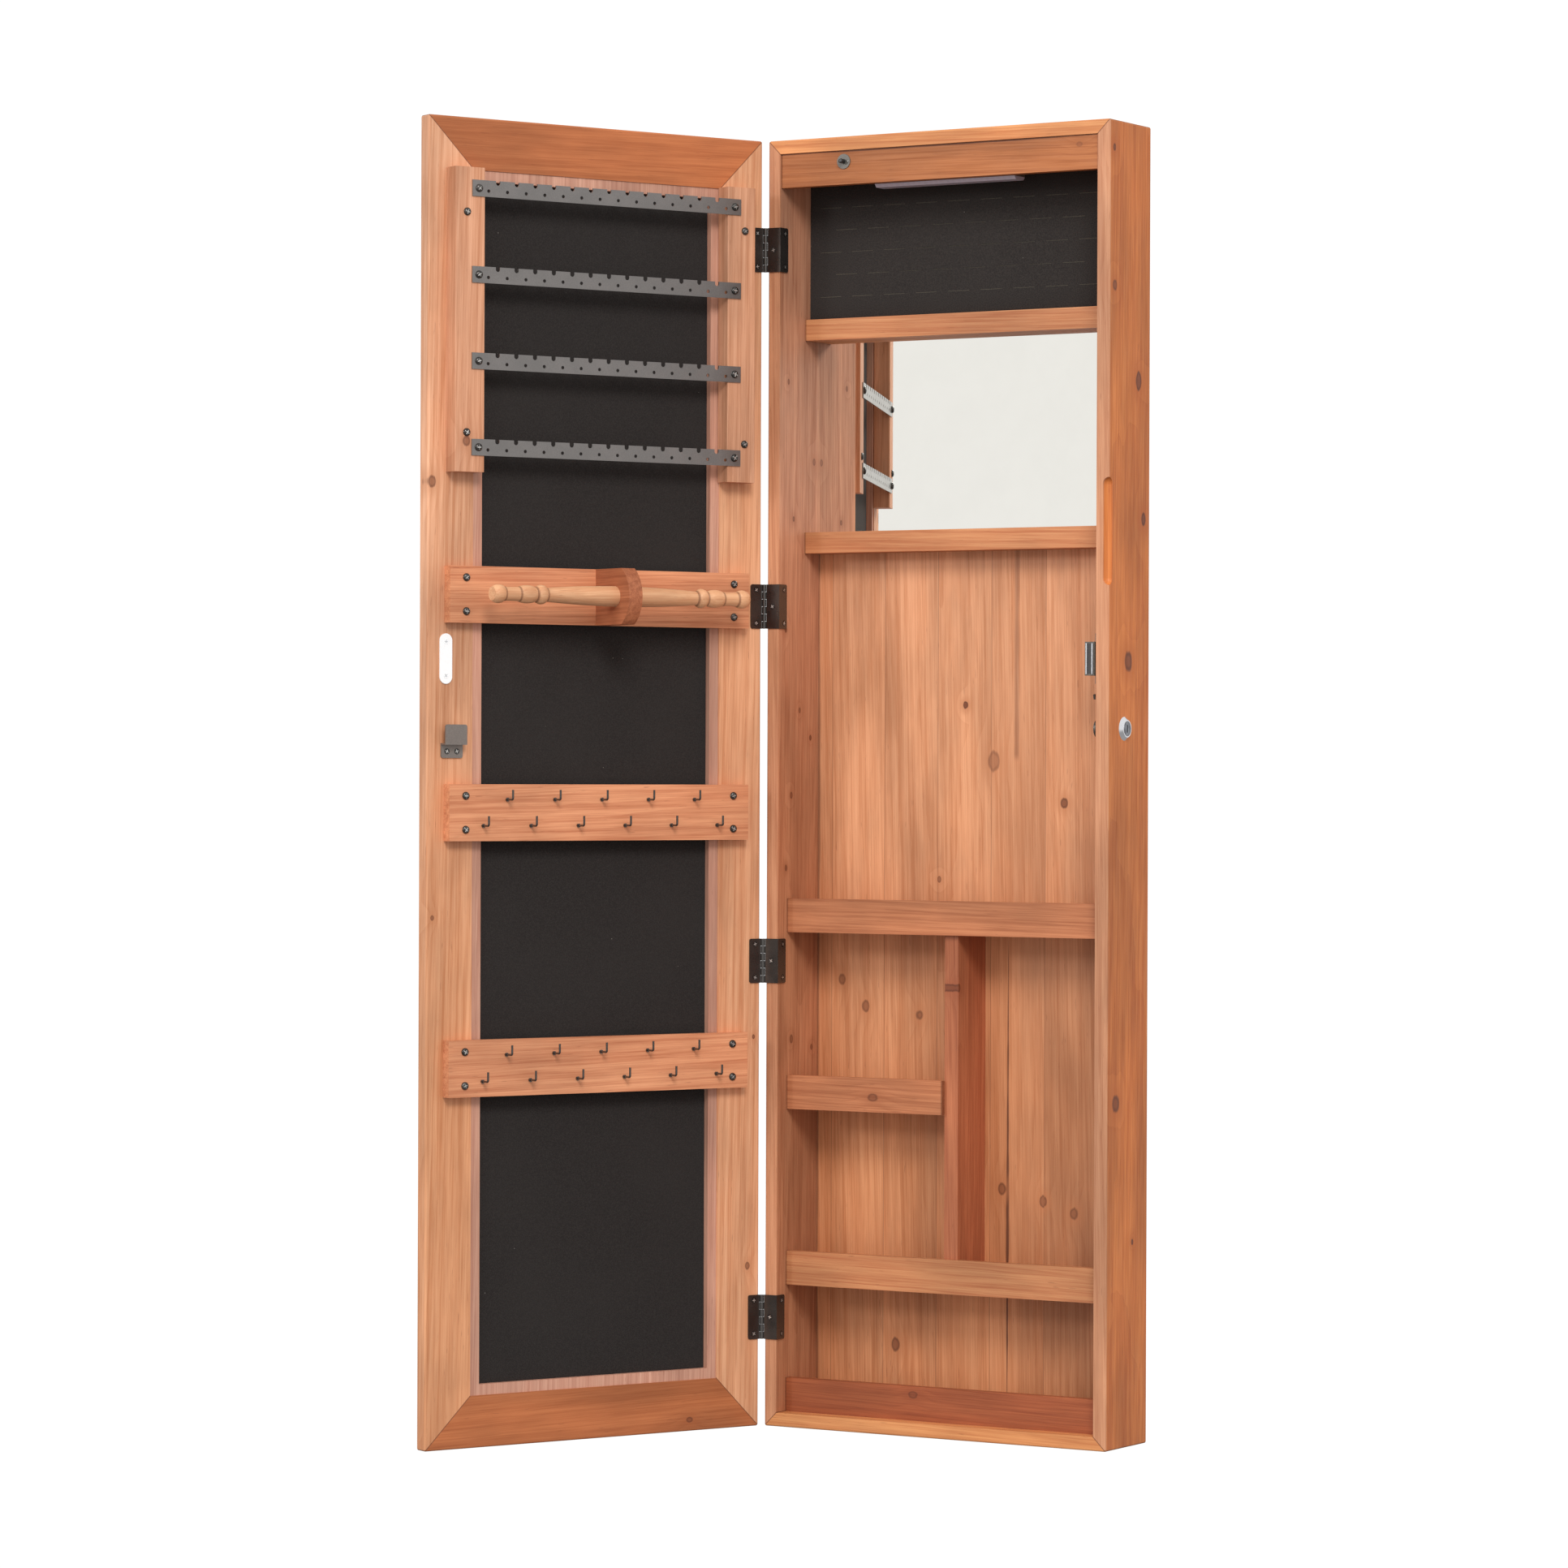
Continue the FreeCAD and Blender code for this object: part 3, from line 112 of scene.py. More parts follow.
def surfacePlace(tree, onDoor):
    # Object coordinates, turned back to the closed door for pieces that hang on it
    place = node(tree, "ShaderNodeTexCoord").outputs["Object"]
    if not onDoor:
        return place
    back = doorMatrix().inverted()
    return node(tree, "ShaderNodeMapping", {"Vector": place, "Location": back.to_translation(),
                                            "Rotation": back.to_euler()}).outputs[0]


def bump(tree, shader, height, strength, distance):
    made = node(tree, "ShaderNodeBump", {"Height": height, "Strength": strength, "Distance": distance})
    tree.links.new(made.outputs[0], shader.inputs["Normal"])


# Stained fir: growth rings round a tilted pith, fine fibres, blotches of stain, knots where the boards have them
woodLook = dict(ringScale=44.0, tilt=0.02, lean=0.014, warp=0.016, rough=(0.42, 0.6), gloss=0.32, lateWood=2.4,
                rings=0.24, stain=(0.78, 1.14), paintedVerticalShade=(0.96, 0.91, 0.84), bump=0.22, bumpHeight=0.0004,
                knotHeart=srgb(112, 58, 36), knotRim=srgb(84, 42, 27), seam=srgb(96, 52, 32))
# Frequency along and across the grain, detail and roughness of each noise
woodNoise = dict(wander=(2.2, 15, 3.0, 0.5), fibre=(9, 760, 4.0, 0.6), band=(2.6, 210, 3.0, 0.6),
                 blotch=(5, 17, 4.0, 0.55), fleck=(60, 640, 1.0, 0.5), streak=(1.5, 62, 5.0, 0.66))
# Where each noise starts and ends to darken the wood, and by how much
woodShares = dict(fibre=(0.36, 0.66, 0.42), band=(0.38, 0.64, 0.38), streak=(0.33, 0.7, 0.24))
staveLook = dict(start=0.02, along=3.0, deep=0.13, tone=0.34, joint=(0.49, 0.498), jointShade=0.4)
seamAndShadeLook = dict(wobble=0.006, fadeIn=0.01, fadeOut=0.03)
grooveLook = dict(clear=0.0016, full=0.0003, shade=0.6)
knotLook = dict(oval=0.72, bend=5.0, bendReach=(0.6, 4.5), ragged=1.3, halo=(0.5, 2.4, 0.8), heart=(0.3, 0.85, 1.0),
                ring=0.55, rim=(0.02, 0.24, 0.9), reach=(3.0, 4.0))
mitreLook = dict(halfWidth=0.183, halfHeight=0.6095, clear=0.0009, full=0.000225, shade=0.75)
paintedFrontSheen = dict(clear=-0.0785, full=-0.0803)
boxEnds = [-169.8, 169.8]
woodTones = dict(
    lockStile=(srgb(230, 171, 131), srgb(197, 131, 90)),
    hingeStile=(srgb(237, 179, 138), srgb(204, 137, 96)),
    doorRail=(srgb(195, 117, 71), srgb(169, 94, 53)),
    strip=(srgb(221, 164, 130), srgb(188, 127, 92)),
    board=(srgb(233, 163, 120), srgb(192, 118, 81)),
    leftSide=(srgb(205, 146, 111), srgb(167, 107, 76)),
    rightSide=(srgb(213, 127, 64), srgb(179, 94, 41)),
    edge=(srgb(236, 163, 104), srgb(201, 123, 73)),
    valance=(srgb(186, 115, 67), srgb(154, 87, 46)),
    rail=(srgb(211, 147, 100), srgb(179, 108, 69)),
    panel=(srgb(229, 164, 120), srgb(197, 128, 85)),
    shelf=(srgb(206, 134, 92), srgb(166, 98, 63)),
    front=(srgb(215, 155, 117), srgb(184, 121, 86)),
    bottomLip=(srgb(177, 98, 60), srgb(144, 73, 43)),
    divider=(srgb(196, 120, 82), srgb(161, 88, 57)),
    bead=(srgb(214, 164, 140), srgb(184, 128, 106)),
    bracket=(srgb(194, 120, 82), srgb(152, 86, 56)),
    turned=(srgb(234, 182, 139), srgb(208, 147, 105)),
)
grainOrder = dict(z=(2, 0, 1), x=(0, 2, 1), y=(1, 0, 2))


def knotField(tree, place, knots, flatAxis, alongAxis):
    # Distance to the nearest knot in knot sizes, and how dark that knot is
    nearest = None
    darkest = None
    for center, radius, depth in knots:
        scale = [1000 / radius] * 3
        scale[alongAxis] *= knotLook["oval"]
        scale[flatAxis] = 1.0
        shift = [-value * factor / 1000 for value, factor in zip(center, scale)]
        local = node(tree, "ShaderNodeMapping", {"Vector": place, "Location": shift, "Scale": scale}).outputs[0]
        far = node(tree, "ShaderNodeVectorMath", {0: local}, operation="LENGTH").outputs["Value"]
        nearest = far if nearest is None else maths(tree, "MINIMUM", nearest, far)
        dark = smooth(tree, far, *knotLook["reach"], depth, 0.0)
        darkest = dark if darkest is None else maths(tree, "MAXIMUM", darkest, dark)
    return nearest, darkest


def grainNoise(tree, board, kind):
    along, across, detail, roughness = woodNoise[kind]
    return noise(tree, stretched(tree, board, (along, across, across)), 1.0, detail, roughness).outputs


def distance(tree, value, middle):
    return maths(tree, "ABSOLUTE", maths(tree, "SUBTRACT", value, middle))


# Tint for the painted shade: way 1 darkens and reddens, way -1 lightens
def paintedShadeTint(tint, way):
    return tuple(channel * share ** way for channel, share in zip(tint, woodLook["paintedVerticalShade"])) + (1.0,)


def boardPlace(tree, along, across, deep, seed):
    # Each board is cut from its own part of the tree
    slant = maths(tree, "MULTIPLY_ADD", along, woodLook["tilt"], across)
    lean = maths(tree, "MULTIPLY_ADD", along, -woodLook["lean"], deep)
    return node(tree, "ShaderNodeCombineXYZ", {0: maths(tree, "ADD", along, seed * 1.37),
                                               1: maths(tree, "ADD", slant, 0.021 + 0.013 * (seed % 5)),
                                               2: maths(tree, "ADD", lean, 0.034 + 0.017 * (seed % 3))}).outputs[0]


def growthRings(tree, board, phase):
    wander = grainNoise(tree, board, "wander")["Color"]
    centered = node(tree, "ShaderNodeVectorMath", {0: wander, 1: (0.5, 0.5, 0.5)}, operation="SUBTRACT").outputs[0]
    pushed = node(tree, "ShaderNodeVectorMath", {0: centered, 1: (0, woodLook["warp"], woodLook["warp"])},
                  operation="MULTIPLY").outputs[0]
    warped = node(tree, "ShaderNodeVectorMath", {0: board, 1: pushed}, operation="ADD").outputs[0]
    rings = node(tree, "ShaderNodeTexWave", {"Vector": warped, "Scale": woodLook["ringScale"], "Distortion": 1.2,
                                             "Detail": 2.0, "Detail Scale": 0.6, "Phase Offset": phase},
                 wave_type="RINGS", rings_direction="X", wave_profile="SAW").outputs["Fac"]
    return maths(tree, "POWER", rings, woodLook["lateWood"])


def paintSeamsAndShade(tree, color, along, across, blotch, seamsAndShade):
    # Open joints, and painted shade in wide darker bands: place across the grain, ends along it, width and shade
    for middle, low, high, wide, shade in seamsAndShade:
        wobble = maths(tree, "MULTIPLY_ADD", maths(tree, "SUBTRACT", blotch, 0.5), seamAndShadeLook["wobble"],
                       distance(tree, across, middle / 1000))
        line = smooth(tree, wobble, wide / 4000, wide / 1000, shade, 0.0)
        inside = maths(tree, "MULTIPLY", smooth(tree, along, low / 1000 - seamAndShadeLook["fadeIn"], low / 1000),
                       smooth(tree, along, high / 1000 - seamAndShadeLook["fadeOut"], high / 1000, 1.0, 0.0))
        color = blendColor(tree, maths(tree, "MULTIPLY", line, inside), color, woodLook["knotRim"])
    return color


def paintGrooves(tree, color, along, grooves):
    for spot in grooves:
        shade = smooth(tree, distance(tree, along, spot / 1000), grooveLook["full"], grooveLook["clear"],
                       grooveLook["shade"], 0.0)
        color = blendColor(tree, shade, color, woodLook["seam"])
    return color


def paintKnots(tree, color, dark, streak, knotFar, knotDark):
    ragged = maths(tree, "MULTIPLY_ADD", maths(tree, "SUBTRACT", streak, 0.5), knotLook["ragged"], knotFar)
    ring = distance(tree, ragged, knotLook["ring"])
    for part, value, tint in (("halo", ragged, dark), ("heart", ragged, woodLook["knotHeart"]),
                              ("rim", ring, woodLook["knotRim"])):
        low, high, most = knotLook[part]
        color = blendColor(tree, maths(tree, "MULTIPLY", smooth(tree, value, low, high, most, 0.0), knotDark), color,
                           tint)
    return color


def paintMitre(tree, color, axes):
    # Fine dark glue line where two boards meet at 45 degrees
    reachX = maths(tree, "SUBTRACT", mitreLook["halfWidth"], maths(tree, "ABSOLUTE", axes[0]))
    reachZ = maths(tree, "SUBTRACT", mitreLook["halfHeight"], maths(tree, "ABSOLUTE", axes[2]))
    shade = smooth(tree, distance(tree, reachX, reachZ), mitreLook["full"], mitreLook["clear"], mitreLook["shade"],
                   0.0)
    return blendColor(tree, shade, color, woodLook["seam"])


def woodMaterial(name, tone, grain, seed, onDoor=False, knots=(), flatAxis=1, staves=0.0, mitred=False, seamsAndShade=(),
                 grooves=(), front=None, paintedVerticalShade=None):
    material, tree, shader = freshMaterial(name)
    place = surfacePlace(tree, onDoor)
    axes = node(tree, "ShaderNodeSeparateXYZ", {0: place}).outputs
    order = grainOrder[grain]
    along, across, deep = (axes[i] for i in order)
    if staves:
        index = maths(tree, "DIVIDE", maths(tree, "SUBTRACT", across, staveLook["start"]), staves)
        staveEdge = distance(tree, maths(tree, "FRACT", index), 0.5)
        pick = node(tree, "ShaderNodeTexWhiteNoise", {"W": maths(tree, "FLOOR", index)}, noise_dimensions="1D")
        staveTone = pick.outputs["Value"]
        along = maths(tree, "MULTIPLY_ADD", staveTone, staveLook["along"], along)
        deep = maths(tree, "MULTIPLY_ADD", staveTone, staveLook["deep"], deep)
    board = boardPlace(tree, along, across, deep, seed)
    phase = 0.0
    if knots:
        knotFar, knotDark = knotField(tree, place, knots, flatAxis, order[0])
        phase = smooth(tree, knotFar, *knotLook["bendReach"], knotLook["bend"], 0.0)
    lateWood = growthRings(tree, board, phase)
    field = {kind: grainNoise(tree, board, kind)[0] for kind in ("fibre", "band", "blotch", "fleck", "streak")}
    light, dark = woodTones[tone]
    if paintedVerticalShade:
        # Painted light and shade: the board is painted lighter towards the top and darker and redder towards the
        # foot
        rise = smooth(tree, axes[2], paintedVerticalShade[0] / 1000, paintedVerticalShade[1] / 1000)
        light, dark = (blendColor(tree, rise, paintedShadeTint(tint, 1.0), paintedShadeTint(tint, -1.0)) for tint in (light, dark))
    if front:
        # Painted sheen: the front edge faces get the lighter front tone, so they read brighter than the sides
        edge = smooth(tree, axes[1], paintedFrontSheen["clear"], paintedFrontSheen["full"])
        light, dark = (blendColor(tree, edge, *pair) for pair in zip((light, dark), woodTones[front]))
    share = maths(tree, "MULTIPLY", lateWood, woodLook["rings"])
    for kind, (low, high, amount) in woodShares.items():
        share = maths(tree, "MULTIPLY_ADD", smooth(tree, field[kind], low, high), amount, share)
    color = blendColor(tree, share, light, dark)
    stain = smooth(tree, field["blotch"], 0.3, 0.7, *woodLook["stain"])
    grey = node(tree, "ShaderNodeCombineXYZ", {0: stain, 1: stain, 2: stain}).outputs[0]
    color = blendColor(tree, 1.0, color, grey, "MULTIPLY")
    color = blendColor(tree, smooth(tree, field["fleck"], 0.7, 0.8, 0.0, 0.3), color, woodLook["knotHeart"])
    if staves:
        color = blendColor(tree, maths(tree, "MULTIPLY", staveTone, staveLook["tone"]), color, dark)
        joint = smooth(tree, staveEdge, *staveLook["joint"], 0.0, staveLook["jointShade"])
        color = blendColor(tree, joint, color, woodLook["seam"])
    color = paintSeamsAndShade(tree, color, axes[order[0]], axes[order[1]], field["blotch"], seamsAndShade)
    color = paintGrooves(tree, color, axes[order[0]], grooves)
    if knots:
        color = paintKnots(tree, color, dark, field["streak"], knotFar, knotDark)
    if mitred:
        color = paintMitre(tree, color, axes)
    tree.links.new(color, shader.inputs["Base Color"])
    tree.links.new(smooth(tree, field["fibre"], 0.2, 0.8, *woodLook["rough"]), shader.inputs["Roughness"])
    shader.inputs["Specular IOR Level"].default_value = woodLook["gloss"]
    height = maths(tree, "MULTIPLY_ADD", lateWood, 0.5, field["fibre"])
    bump(tree, shader, height, woodLook["bump"], woodLook["bumpHeight"])
    return material


# One entry for each wooden piece: tone, grain direction, seed, and knots in millimetres with radius and darkness
woodPieces = dict(
    left_side=dict(tone="leftSide", grain="z", seed=3, flatAxis=0, mitred=True, front="front",
                   paintedVerticalShade=(-120, 330), knots=[
        ((-176, -17, 308), 4, 0.5), ((-176, -64, 382), 3, 0.6), ((-176, -42, 70), 3, 0.6),
        ((-176, -55, -243), 4, 0.6), ((-176, -68, 146), 4, 0.7), ((-176, -18, -252), 3, 0.6),
        ((-176, -57, -11), 3, 0.7), ((-176, -54, 252), 3, 0.6), ((-176, -22, 44), 3, 0.8),
        ((-176, -66, -80), 3, 0.7)]),
    right_side=dict(tone="rightSide", grain="z", seed=7, flatAxis=0, mitred=True, front="front", knots=[
        ((183, -72, 584), 5, 0.8), ((183, -23, 373), 8, 0.85), ((183, -13, 246), 7, 0.9),
        ((183, -42, 114), 10, 0.8), ((183, -71, 458), 6, 0.7), ((183, -64, -292), 9, 0.75),
        ((183, -30, -421), 3, 0.9)]),
    top_board=dict(tone="edge", grain="x", seed=11, flatAxis=2, mitred=True),
    bottom_board=dict(tone="edge", grain="x", seed=12, flatAxis=2, mitred=True),
    back_panel=dict(tone="panel", grain="z", seed=5, staves=0.058, paintedVerticalShade=(-420, 260), seamsAndShade=[
        # The wide band at x 112 is painted shade over the right bay below the upper shelf
        (39, -600, -141, 1.8, 0.85), (47, 30, 240, 4.0, 0.4), (112, -600, -141, 90.0, 0.2),
        (-170, -620, 620, 3.0, 0.6), (170, -620, 620, 3.0, 0.6)], knots=[
        ((-8, -7, 75), 3.4, 0.9), ((23, -7, 22), 9, 0.4), ((98, -7, -17), 5, 0.75),
        ((-116, -7, -212), 6, 0.55), ((-142, -7, -187), 6, 0.5), ((-57, -7, -219), 6, 0.55),
        ((-36, -7, -90), 2.6, 0.6), ((33, -7, -380), 6, 0.6), ((77, -7, -390), 5, 0.55),
        ((109, -7, -400), 6, 0.5), ((-82, -7, -533), 7, 0.65)]),
    light_valance=dict(tone="valance", grain="x", seed=14, grooves=boxEnds, seamsAndShade=[(596.5, -180, 200, 1.4, 0.7)],
                       knots=[((150, -79, 588), 4, 0.3)]),
    light_soffit=dict(tone="rail", grain="x", seed=15),
    ring_rail=dict(tone="rail", grain="x", seed=16, grooves=boxEnds),
    mirror_rail=dict(tone="rail", grain="x", seed=17, grooves=boxEnds),
    upper_shelf=dict(tone="shelf", grain="x", seed=18),
    upper_shelf_lip=dict(tone="shelf", grain="x", seed=19, grooves=boxEnds),
    middle_shelf=dict(tone="shelf", grain="x", seed=20),
    middle_shelf_lip=dict(tone="shelf", grain="x", seed=21, grooves=[-169.8, -0.2], knots=[
        ((-75, -64, -295), 6, 0.55)]),
    lower_shelf=dict(tone="shelf", grain="x", seed=22),
    lower_shelf_lip=dict(tone="rail", grain="x", seed=23, grooves=boxEnds),
    bottom_lip=dict(tone="bottomLip", grain="x", seed=24, grooves=boxEnds, knots=[((-30, -64, -572), 5, 0.5)]),
    divider=dict(tone="divider", grain="z", seed=25, flatAxis=0, knots=[((14, -58, -190), 4, 0.7)]),
    door_hinge_stile=dict(tone="hingeStile", grain="z", seed=31, onDoor=True, mitred=True, knots=[
        ((-176, -84, -240), 3, 0.7), ((-170, -84, -457), 4, 0.6)]),
    door_lock_stile=dict(tone="lockStile", grain="z", seed=33, onDoor=True, mitred=True, paintedVerticalShade=(-350, 350), knots=[
        ((178, -84, 275), 6, 0.6), ((177, -84, -123), 3, 0.6)]),
    door_top_rail=dict(tone="doorRail", grain="x", seed=35, onDoor=True, mitred=True),
    door_bottom_rail=dict(tone="doorRail", grain="x", seed=36, onDoor=True, mitred=True, knots=[
        ((-105, -84, -599), 4, 0.6)]),
    door_beads=dict(tone="bead", grain="z", seed=38, onDoor=True),
    earring_strips=dict(tone="strip", grain="z", seed=39, onDoor=True, knots=[((152, -67, 312), 5, 0.6)]),
    bracelet_board=dict(tone="board", grain="x", seed=41, onDoor=True),
    hook_board_upper=dict(tone="board", grain="x", seed=42, onDoor=True),
    hook_board_lower=dict(tone="board", grain="x", seed=43, onDoor=True),
    bracelet_bracket=dict(tone="bracket", grain="y", seed=44, onDoor=True),
    bracelet_rod=dict(tone="turned", grain="x", seed=45, onDoor=True, grooves=[
        -125.5, -109.5, -91.5, -80.5, 83.5, 94.5, 112.5, 128.5]),
)


def dress(pieceName, material):
    mesh = cadNodes[pieceName].data
    mesh.materials.clear()
    mesh.materials.append(material)


for pieceName, look in woodPieces.items():
    dress(pieceName, woodMaterial(pieceName.replace("_", " ") + " fir", **look))
print("wood dressed:", len(woodPieces))


# Black felt on the door and velvet on the ring cushion, with stray lint
feltLook = dict(felt=(srgb(36, 32, 31), srgb(50, 46, 44)), velvet=(srgb(40, 36, 35), srgb(57, 52, 49)),
                fray=(srgb(60, 56, 50), srgb(86, 80, 69)), lintColor=srgb(150, 146, 138), pile=900.0, patch=9.0,
                lint=95.0, lintRare=0.93, lintDot=(0.02, 0.055, 0.6), rough=0.95, gloss=0.15, sheen=0.12,
                bump=0.5, bumpHeight=0.0006)


def feltMaterial(name, pair, onDoor):
    material, tree, shader = freshMaterial(name)
    place = surfacePlace(tree, onDoor)
    pile = noise(tree, place, feltLook["pile"], 3.0, 0.6).outputs[0]
    patch = noise(tree, place, feltLook["patch"], 3.0).outputs[0]
    color = blendColor(tree, smooth(tree, pile, 0.3, 0.75), *pair)
    color = blendColor(tree, smooth(tree, patch, 0.35, 0.75, 0.0, 0.35), color, pair[1])
    specks = node(tree, "ShaderNodeTexVoronoi", {"Vector": place, "Scale": feltLook["lint"]})
    draw = node(tree, "ShaderNodeSeparateColor", {0: specks.outputs["Color"]}).outputs[0]
    rare = maths(tree, "GREATER_THAN", draw, feltLook["lintRare"])
    dot = maths(tree, "MULTIPLY", smooth(tree, specks.outputs["Distance"], *feltLook["lintDot"], 0.0), rare)
    color = blendColor(tree, dot, color, feltLook["lintColor"])
    tree.links.new(color, shader.inputs["Base Color"])
    shader.inputs["Roughness"].default_value = feltLook["rough"]
    shader.inputs["Specular IOR Level"].default_value = feltLook["gloss"]
    shader.inputs["Sheen Weight"].default_value = feltLook["sheen"]
    shader.inputs["Sheen Roughness"].default_value = 0.5
    bump(tree, shader, pile, feltLook["bump"], feltLook["bumpHeight"])
    return material


dress("door_backing", feltMaterial("black door felt", feltLook["felt"], True))


# Metals and plastics: a base colour broken by fine grain and handling marks
# Painted shade: the key slot below the plug face is coloured near black
keySlotShadeLook = dict(dark=0.1846, face=0.1854, color=srgb(12, 12, 13))
metalMarks = dict(scale=45.0, coatRough=0.12, bumpHeight=0.0002)
metalLooks = dict(
    blackSteel=dict(base=srgb(70, 66, 63), worn=srgb(82, 78, 74), metallic=0.8, rough=(0.22, 0.3), grain=900,
                    height=0.06, coat=0.7),
    # Painted sheen: the earring bars are a lighter copy of the black steel
    paintedSheenBarSteel=dict(base=srgb(120, 116, 113), worn=srgb(132, 127, 124), metallic=0.8, rough=(0.28, 0.36), grain=900,
                  height=0.06, coat=0.7),
    darkScrew=dict(base=srgb(50, 48, 46), worn=srgb(84, 80, 76), metallic=0.8, rough=(0.22, 0.36), grain=500,
                   height=0.1, coat=0.4),
    # Painted highlight: the near-white floor of each cross recess
    screwCrossHighlight=dict(base=srgb(226, 222, 216), worn=srgb(196, 192, 186), metallic=0.8, rough=(0.25, 0.4), grain=500,
                    height=0.1),
    darkBronze=dict(base=srgb(84, 79, 74), worn=srgb(108, 101, 93), metallic=0.8, rough=(0.3, 0.45), grain=600,
                    height=0.12),
    satinGrey=dict(base=srgb(127, 118, 112), worn=srgb(139, 130, 123), metallic=0.6, rough=(0.35, 0.45), grain=700,
                   height=0.08),
    brightZinc=dict(base=srgb(226, 227, 228), worn=srgb(208, 209, 212), metallic=1.0, rough=(0.24, 0.4), grain=260,
                    height=0.06),
    poleSteel=dict(base=srgb(206, 206, 208), worn=srgb(184, 184, 188), metallic=1.0, rough=(0.2, 0.3), grain=200,
                   height=0.0),
    # Painted reflection: the strike plate is painted white for the white studio it reflects
    paintedReflectionZinc=dict(base=srgb(255, 255, 255), worn=srgb(252, 252, 252), metallic=0.1, rough=(0.2, 0.3), grain=260,
                   height=0.03),
    chrome=dict(base=srgb(240, 240, 242), worn=srgb(228, 228, 232), metallic=1.0, rough=(0.04, 0.12), grain=120,
                height=0.02),
    plugSteel=dict(base=srgb(92, 94, 100), worn=srgb(150, 152, 158), metallic=1.0, rough=(0.08, 0.2), grain=160,
                   height=0.05, keySlotShade=keySlotShadeLook),
    magnetBlack=dict(base=srgb(58, 56, 56), worn=srgb(72, 70, 68), metallic=0.0, rough=(0.6, 0.75), grain=900,
                     height=0.2),
    mirrorGlass=dict(base=srgb(252, 250, 243), worn=srgb(250, 248, 241), metallic=1.0, rough=(0.0, 0.015), grain=30,
                     height=0.0),
    greyPlastic=dict(base=srgb(94, 90, 84), worn=srgb(106, 102, 95), metallic=0.2, rough=(0.35, 0.5), grain=800,
                     height=0.1),
    blackPlastic=dict(base=srgb(30, 30, 30), worn=srgb(44, 44, 44), metallic=0.0, rough=(0.3, 0.45), grain=800,
                      height=0.1),
    cellJacket=dict(base=srgb(120, 120, 126), worn=srgb(140, 140, 146), metallic=0.6, rough=(0.3, 0.45), grain=300,
                    height=0.05),
)


def metalMaterial(name, base, worn, metallic, rough, grain, height, coat=0.0, keySlotShade=None):
    material, tree, shader = freshMaterial(name)
    place = surfacePlace(tree, False)
    grainy = noise(tree, place, grain, 3.0, 0.6).outputs[0]
    marks = noise(tree, place, metalMarks["scale"], 3.0).outputs[0]
    wear = maths(tree, "MULTIPLY_ADD", grainy, 0.5, maths(tree, "MULTIPLY", marks, 0.5))
    color = blendColor(tree, smooth(tree, wear, 0.35, 0.68), base, worn)
    # Painted shade inside the key slot
    if keySlotShade:
        across = node(tree, "ShaderNodeSeparateXYZ", {0: place}).outputs[0]
        color = blendColor(tree, smooth(tree, across, keySlotShade["dark"], keySlotShade["face"]), keySlotShade["color"], color)
    tree.links.new(color, shader.inputs["Base Color"])
    tree.links.new(smooth(tree, marks, 0.3, 0.7, *rough), shader.inputs["Roughness"])
    shader.inputs["Metallic"].default_value = metallic
    shader.inputs["Coat Weight"].default_value = coat
    shader.inputs["Coat Roughness"].default_value = metalMarks["coatRough"]
    if height:
        bump(tree, shader, grainy, height, metalMarks["bumpHeight"])
    return material


metals = {name: metalMaterial(name, **look) for name, look in metalLooks.items()}
metalPieces = dict(
    blackSteel=["hooks_upper", "hooks_lower", "hinge_cabinet_leaves", "hinge_door_leaves"],
    paintedSheenBarSteel=["earring_bars"],
    darkBronze=["catch_housing", "lock_cam"],
    satinGrey=["lock_keeper"],
    poleSteel=["catch_poles"],
    brightZinc=["hinge_pins", "lock_nut", "cam_screw", "hanger_plates", "hanger_screws"],
    paintedReflectionZinc=["strike_plate"],
    chrome=["lock_housing"],
    plugSteel=["lock_plug"],
    magnetBlack=["catch_magnet"],
    mirrorGlass=["small_mirror", "door_mirror"],
    greyPlastic=["switch_housing", "light_housing"],
    blackPlastic=["switch_plunger", "battery_tray"],
    cellJacket=["battery_cells"],
)
for metalName, pieceNames in metalPieces.items():
    for pieceName in pieceNames:
        dress(pieceName, metals[metalName])

# Milky lens over the light strip
lensLook = dict(color=srgb(196, 190, 204), rib=srgb(178, 172, 188), ribs=52.0, ribShare=0.25, rough=0.3)
lensMaterial, lensTree, lensShader = freshMaterial("milky light lens")
ribs = node(lensTree, "ShaderNodeTexWave", {"Vector": surfacePlace(lensTree, False), "Scale": lensLook["ribs"]},
            bands_direction="X")
ribShare = maths(lensTree, "MULTIPLY", ribs.outputs["Fac"], lensLook["ribShare"])
lensColor = blendColor(lensTree, ribShare, lensLook["color"], lensLook["rib"])
lensTree.links.new(lensColor, lensShader.inputs["Base Color"])
lensShader.inputs["Roughness"].default_value = lensLook["rough"]
dress("light_diffuser", lensMaterial)
print("metal, felt and lens dressed")


# Modelling helpers
def startPiece(pieceName):
    piece = bpy.context.active_object
    piece.name = pieceName
    piece.data.name = pieceName
    return piece


def selectOnly(piece):
    bpy.ops.object.select_all(action="DESELECT")
    piece.select_set(True)
    bpy.context.view_layer.objects.active = piece


def settle(piece):
    selectOnly(piece)
    bpy.ops.object.transform_apply(location=True, rotation=True, scale=True)


# Foam ring cushion: crowned front, drawn-in rim, and staggered rows of finger slits
cushion = dict(rows=5, rowPitch=21.2, slit=23.0, pitch=35.0, firstGap=12.0, lastGap=8.0, mouth=0.6, depth=0.5,
               crown=0.9, rim=3.0, turned=1.4, smooth=40)
hairsbreadth = 1e-5


def cutPlanes(normal, places):
    for place in places:
        bpy.ops.mesh.select_all(action="SELECT")
        bpy.ops.mesh.bisect(plane_co=[place * axis for axis in normal], plane_no=normal)


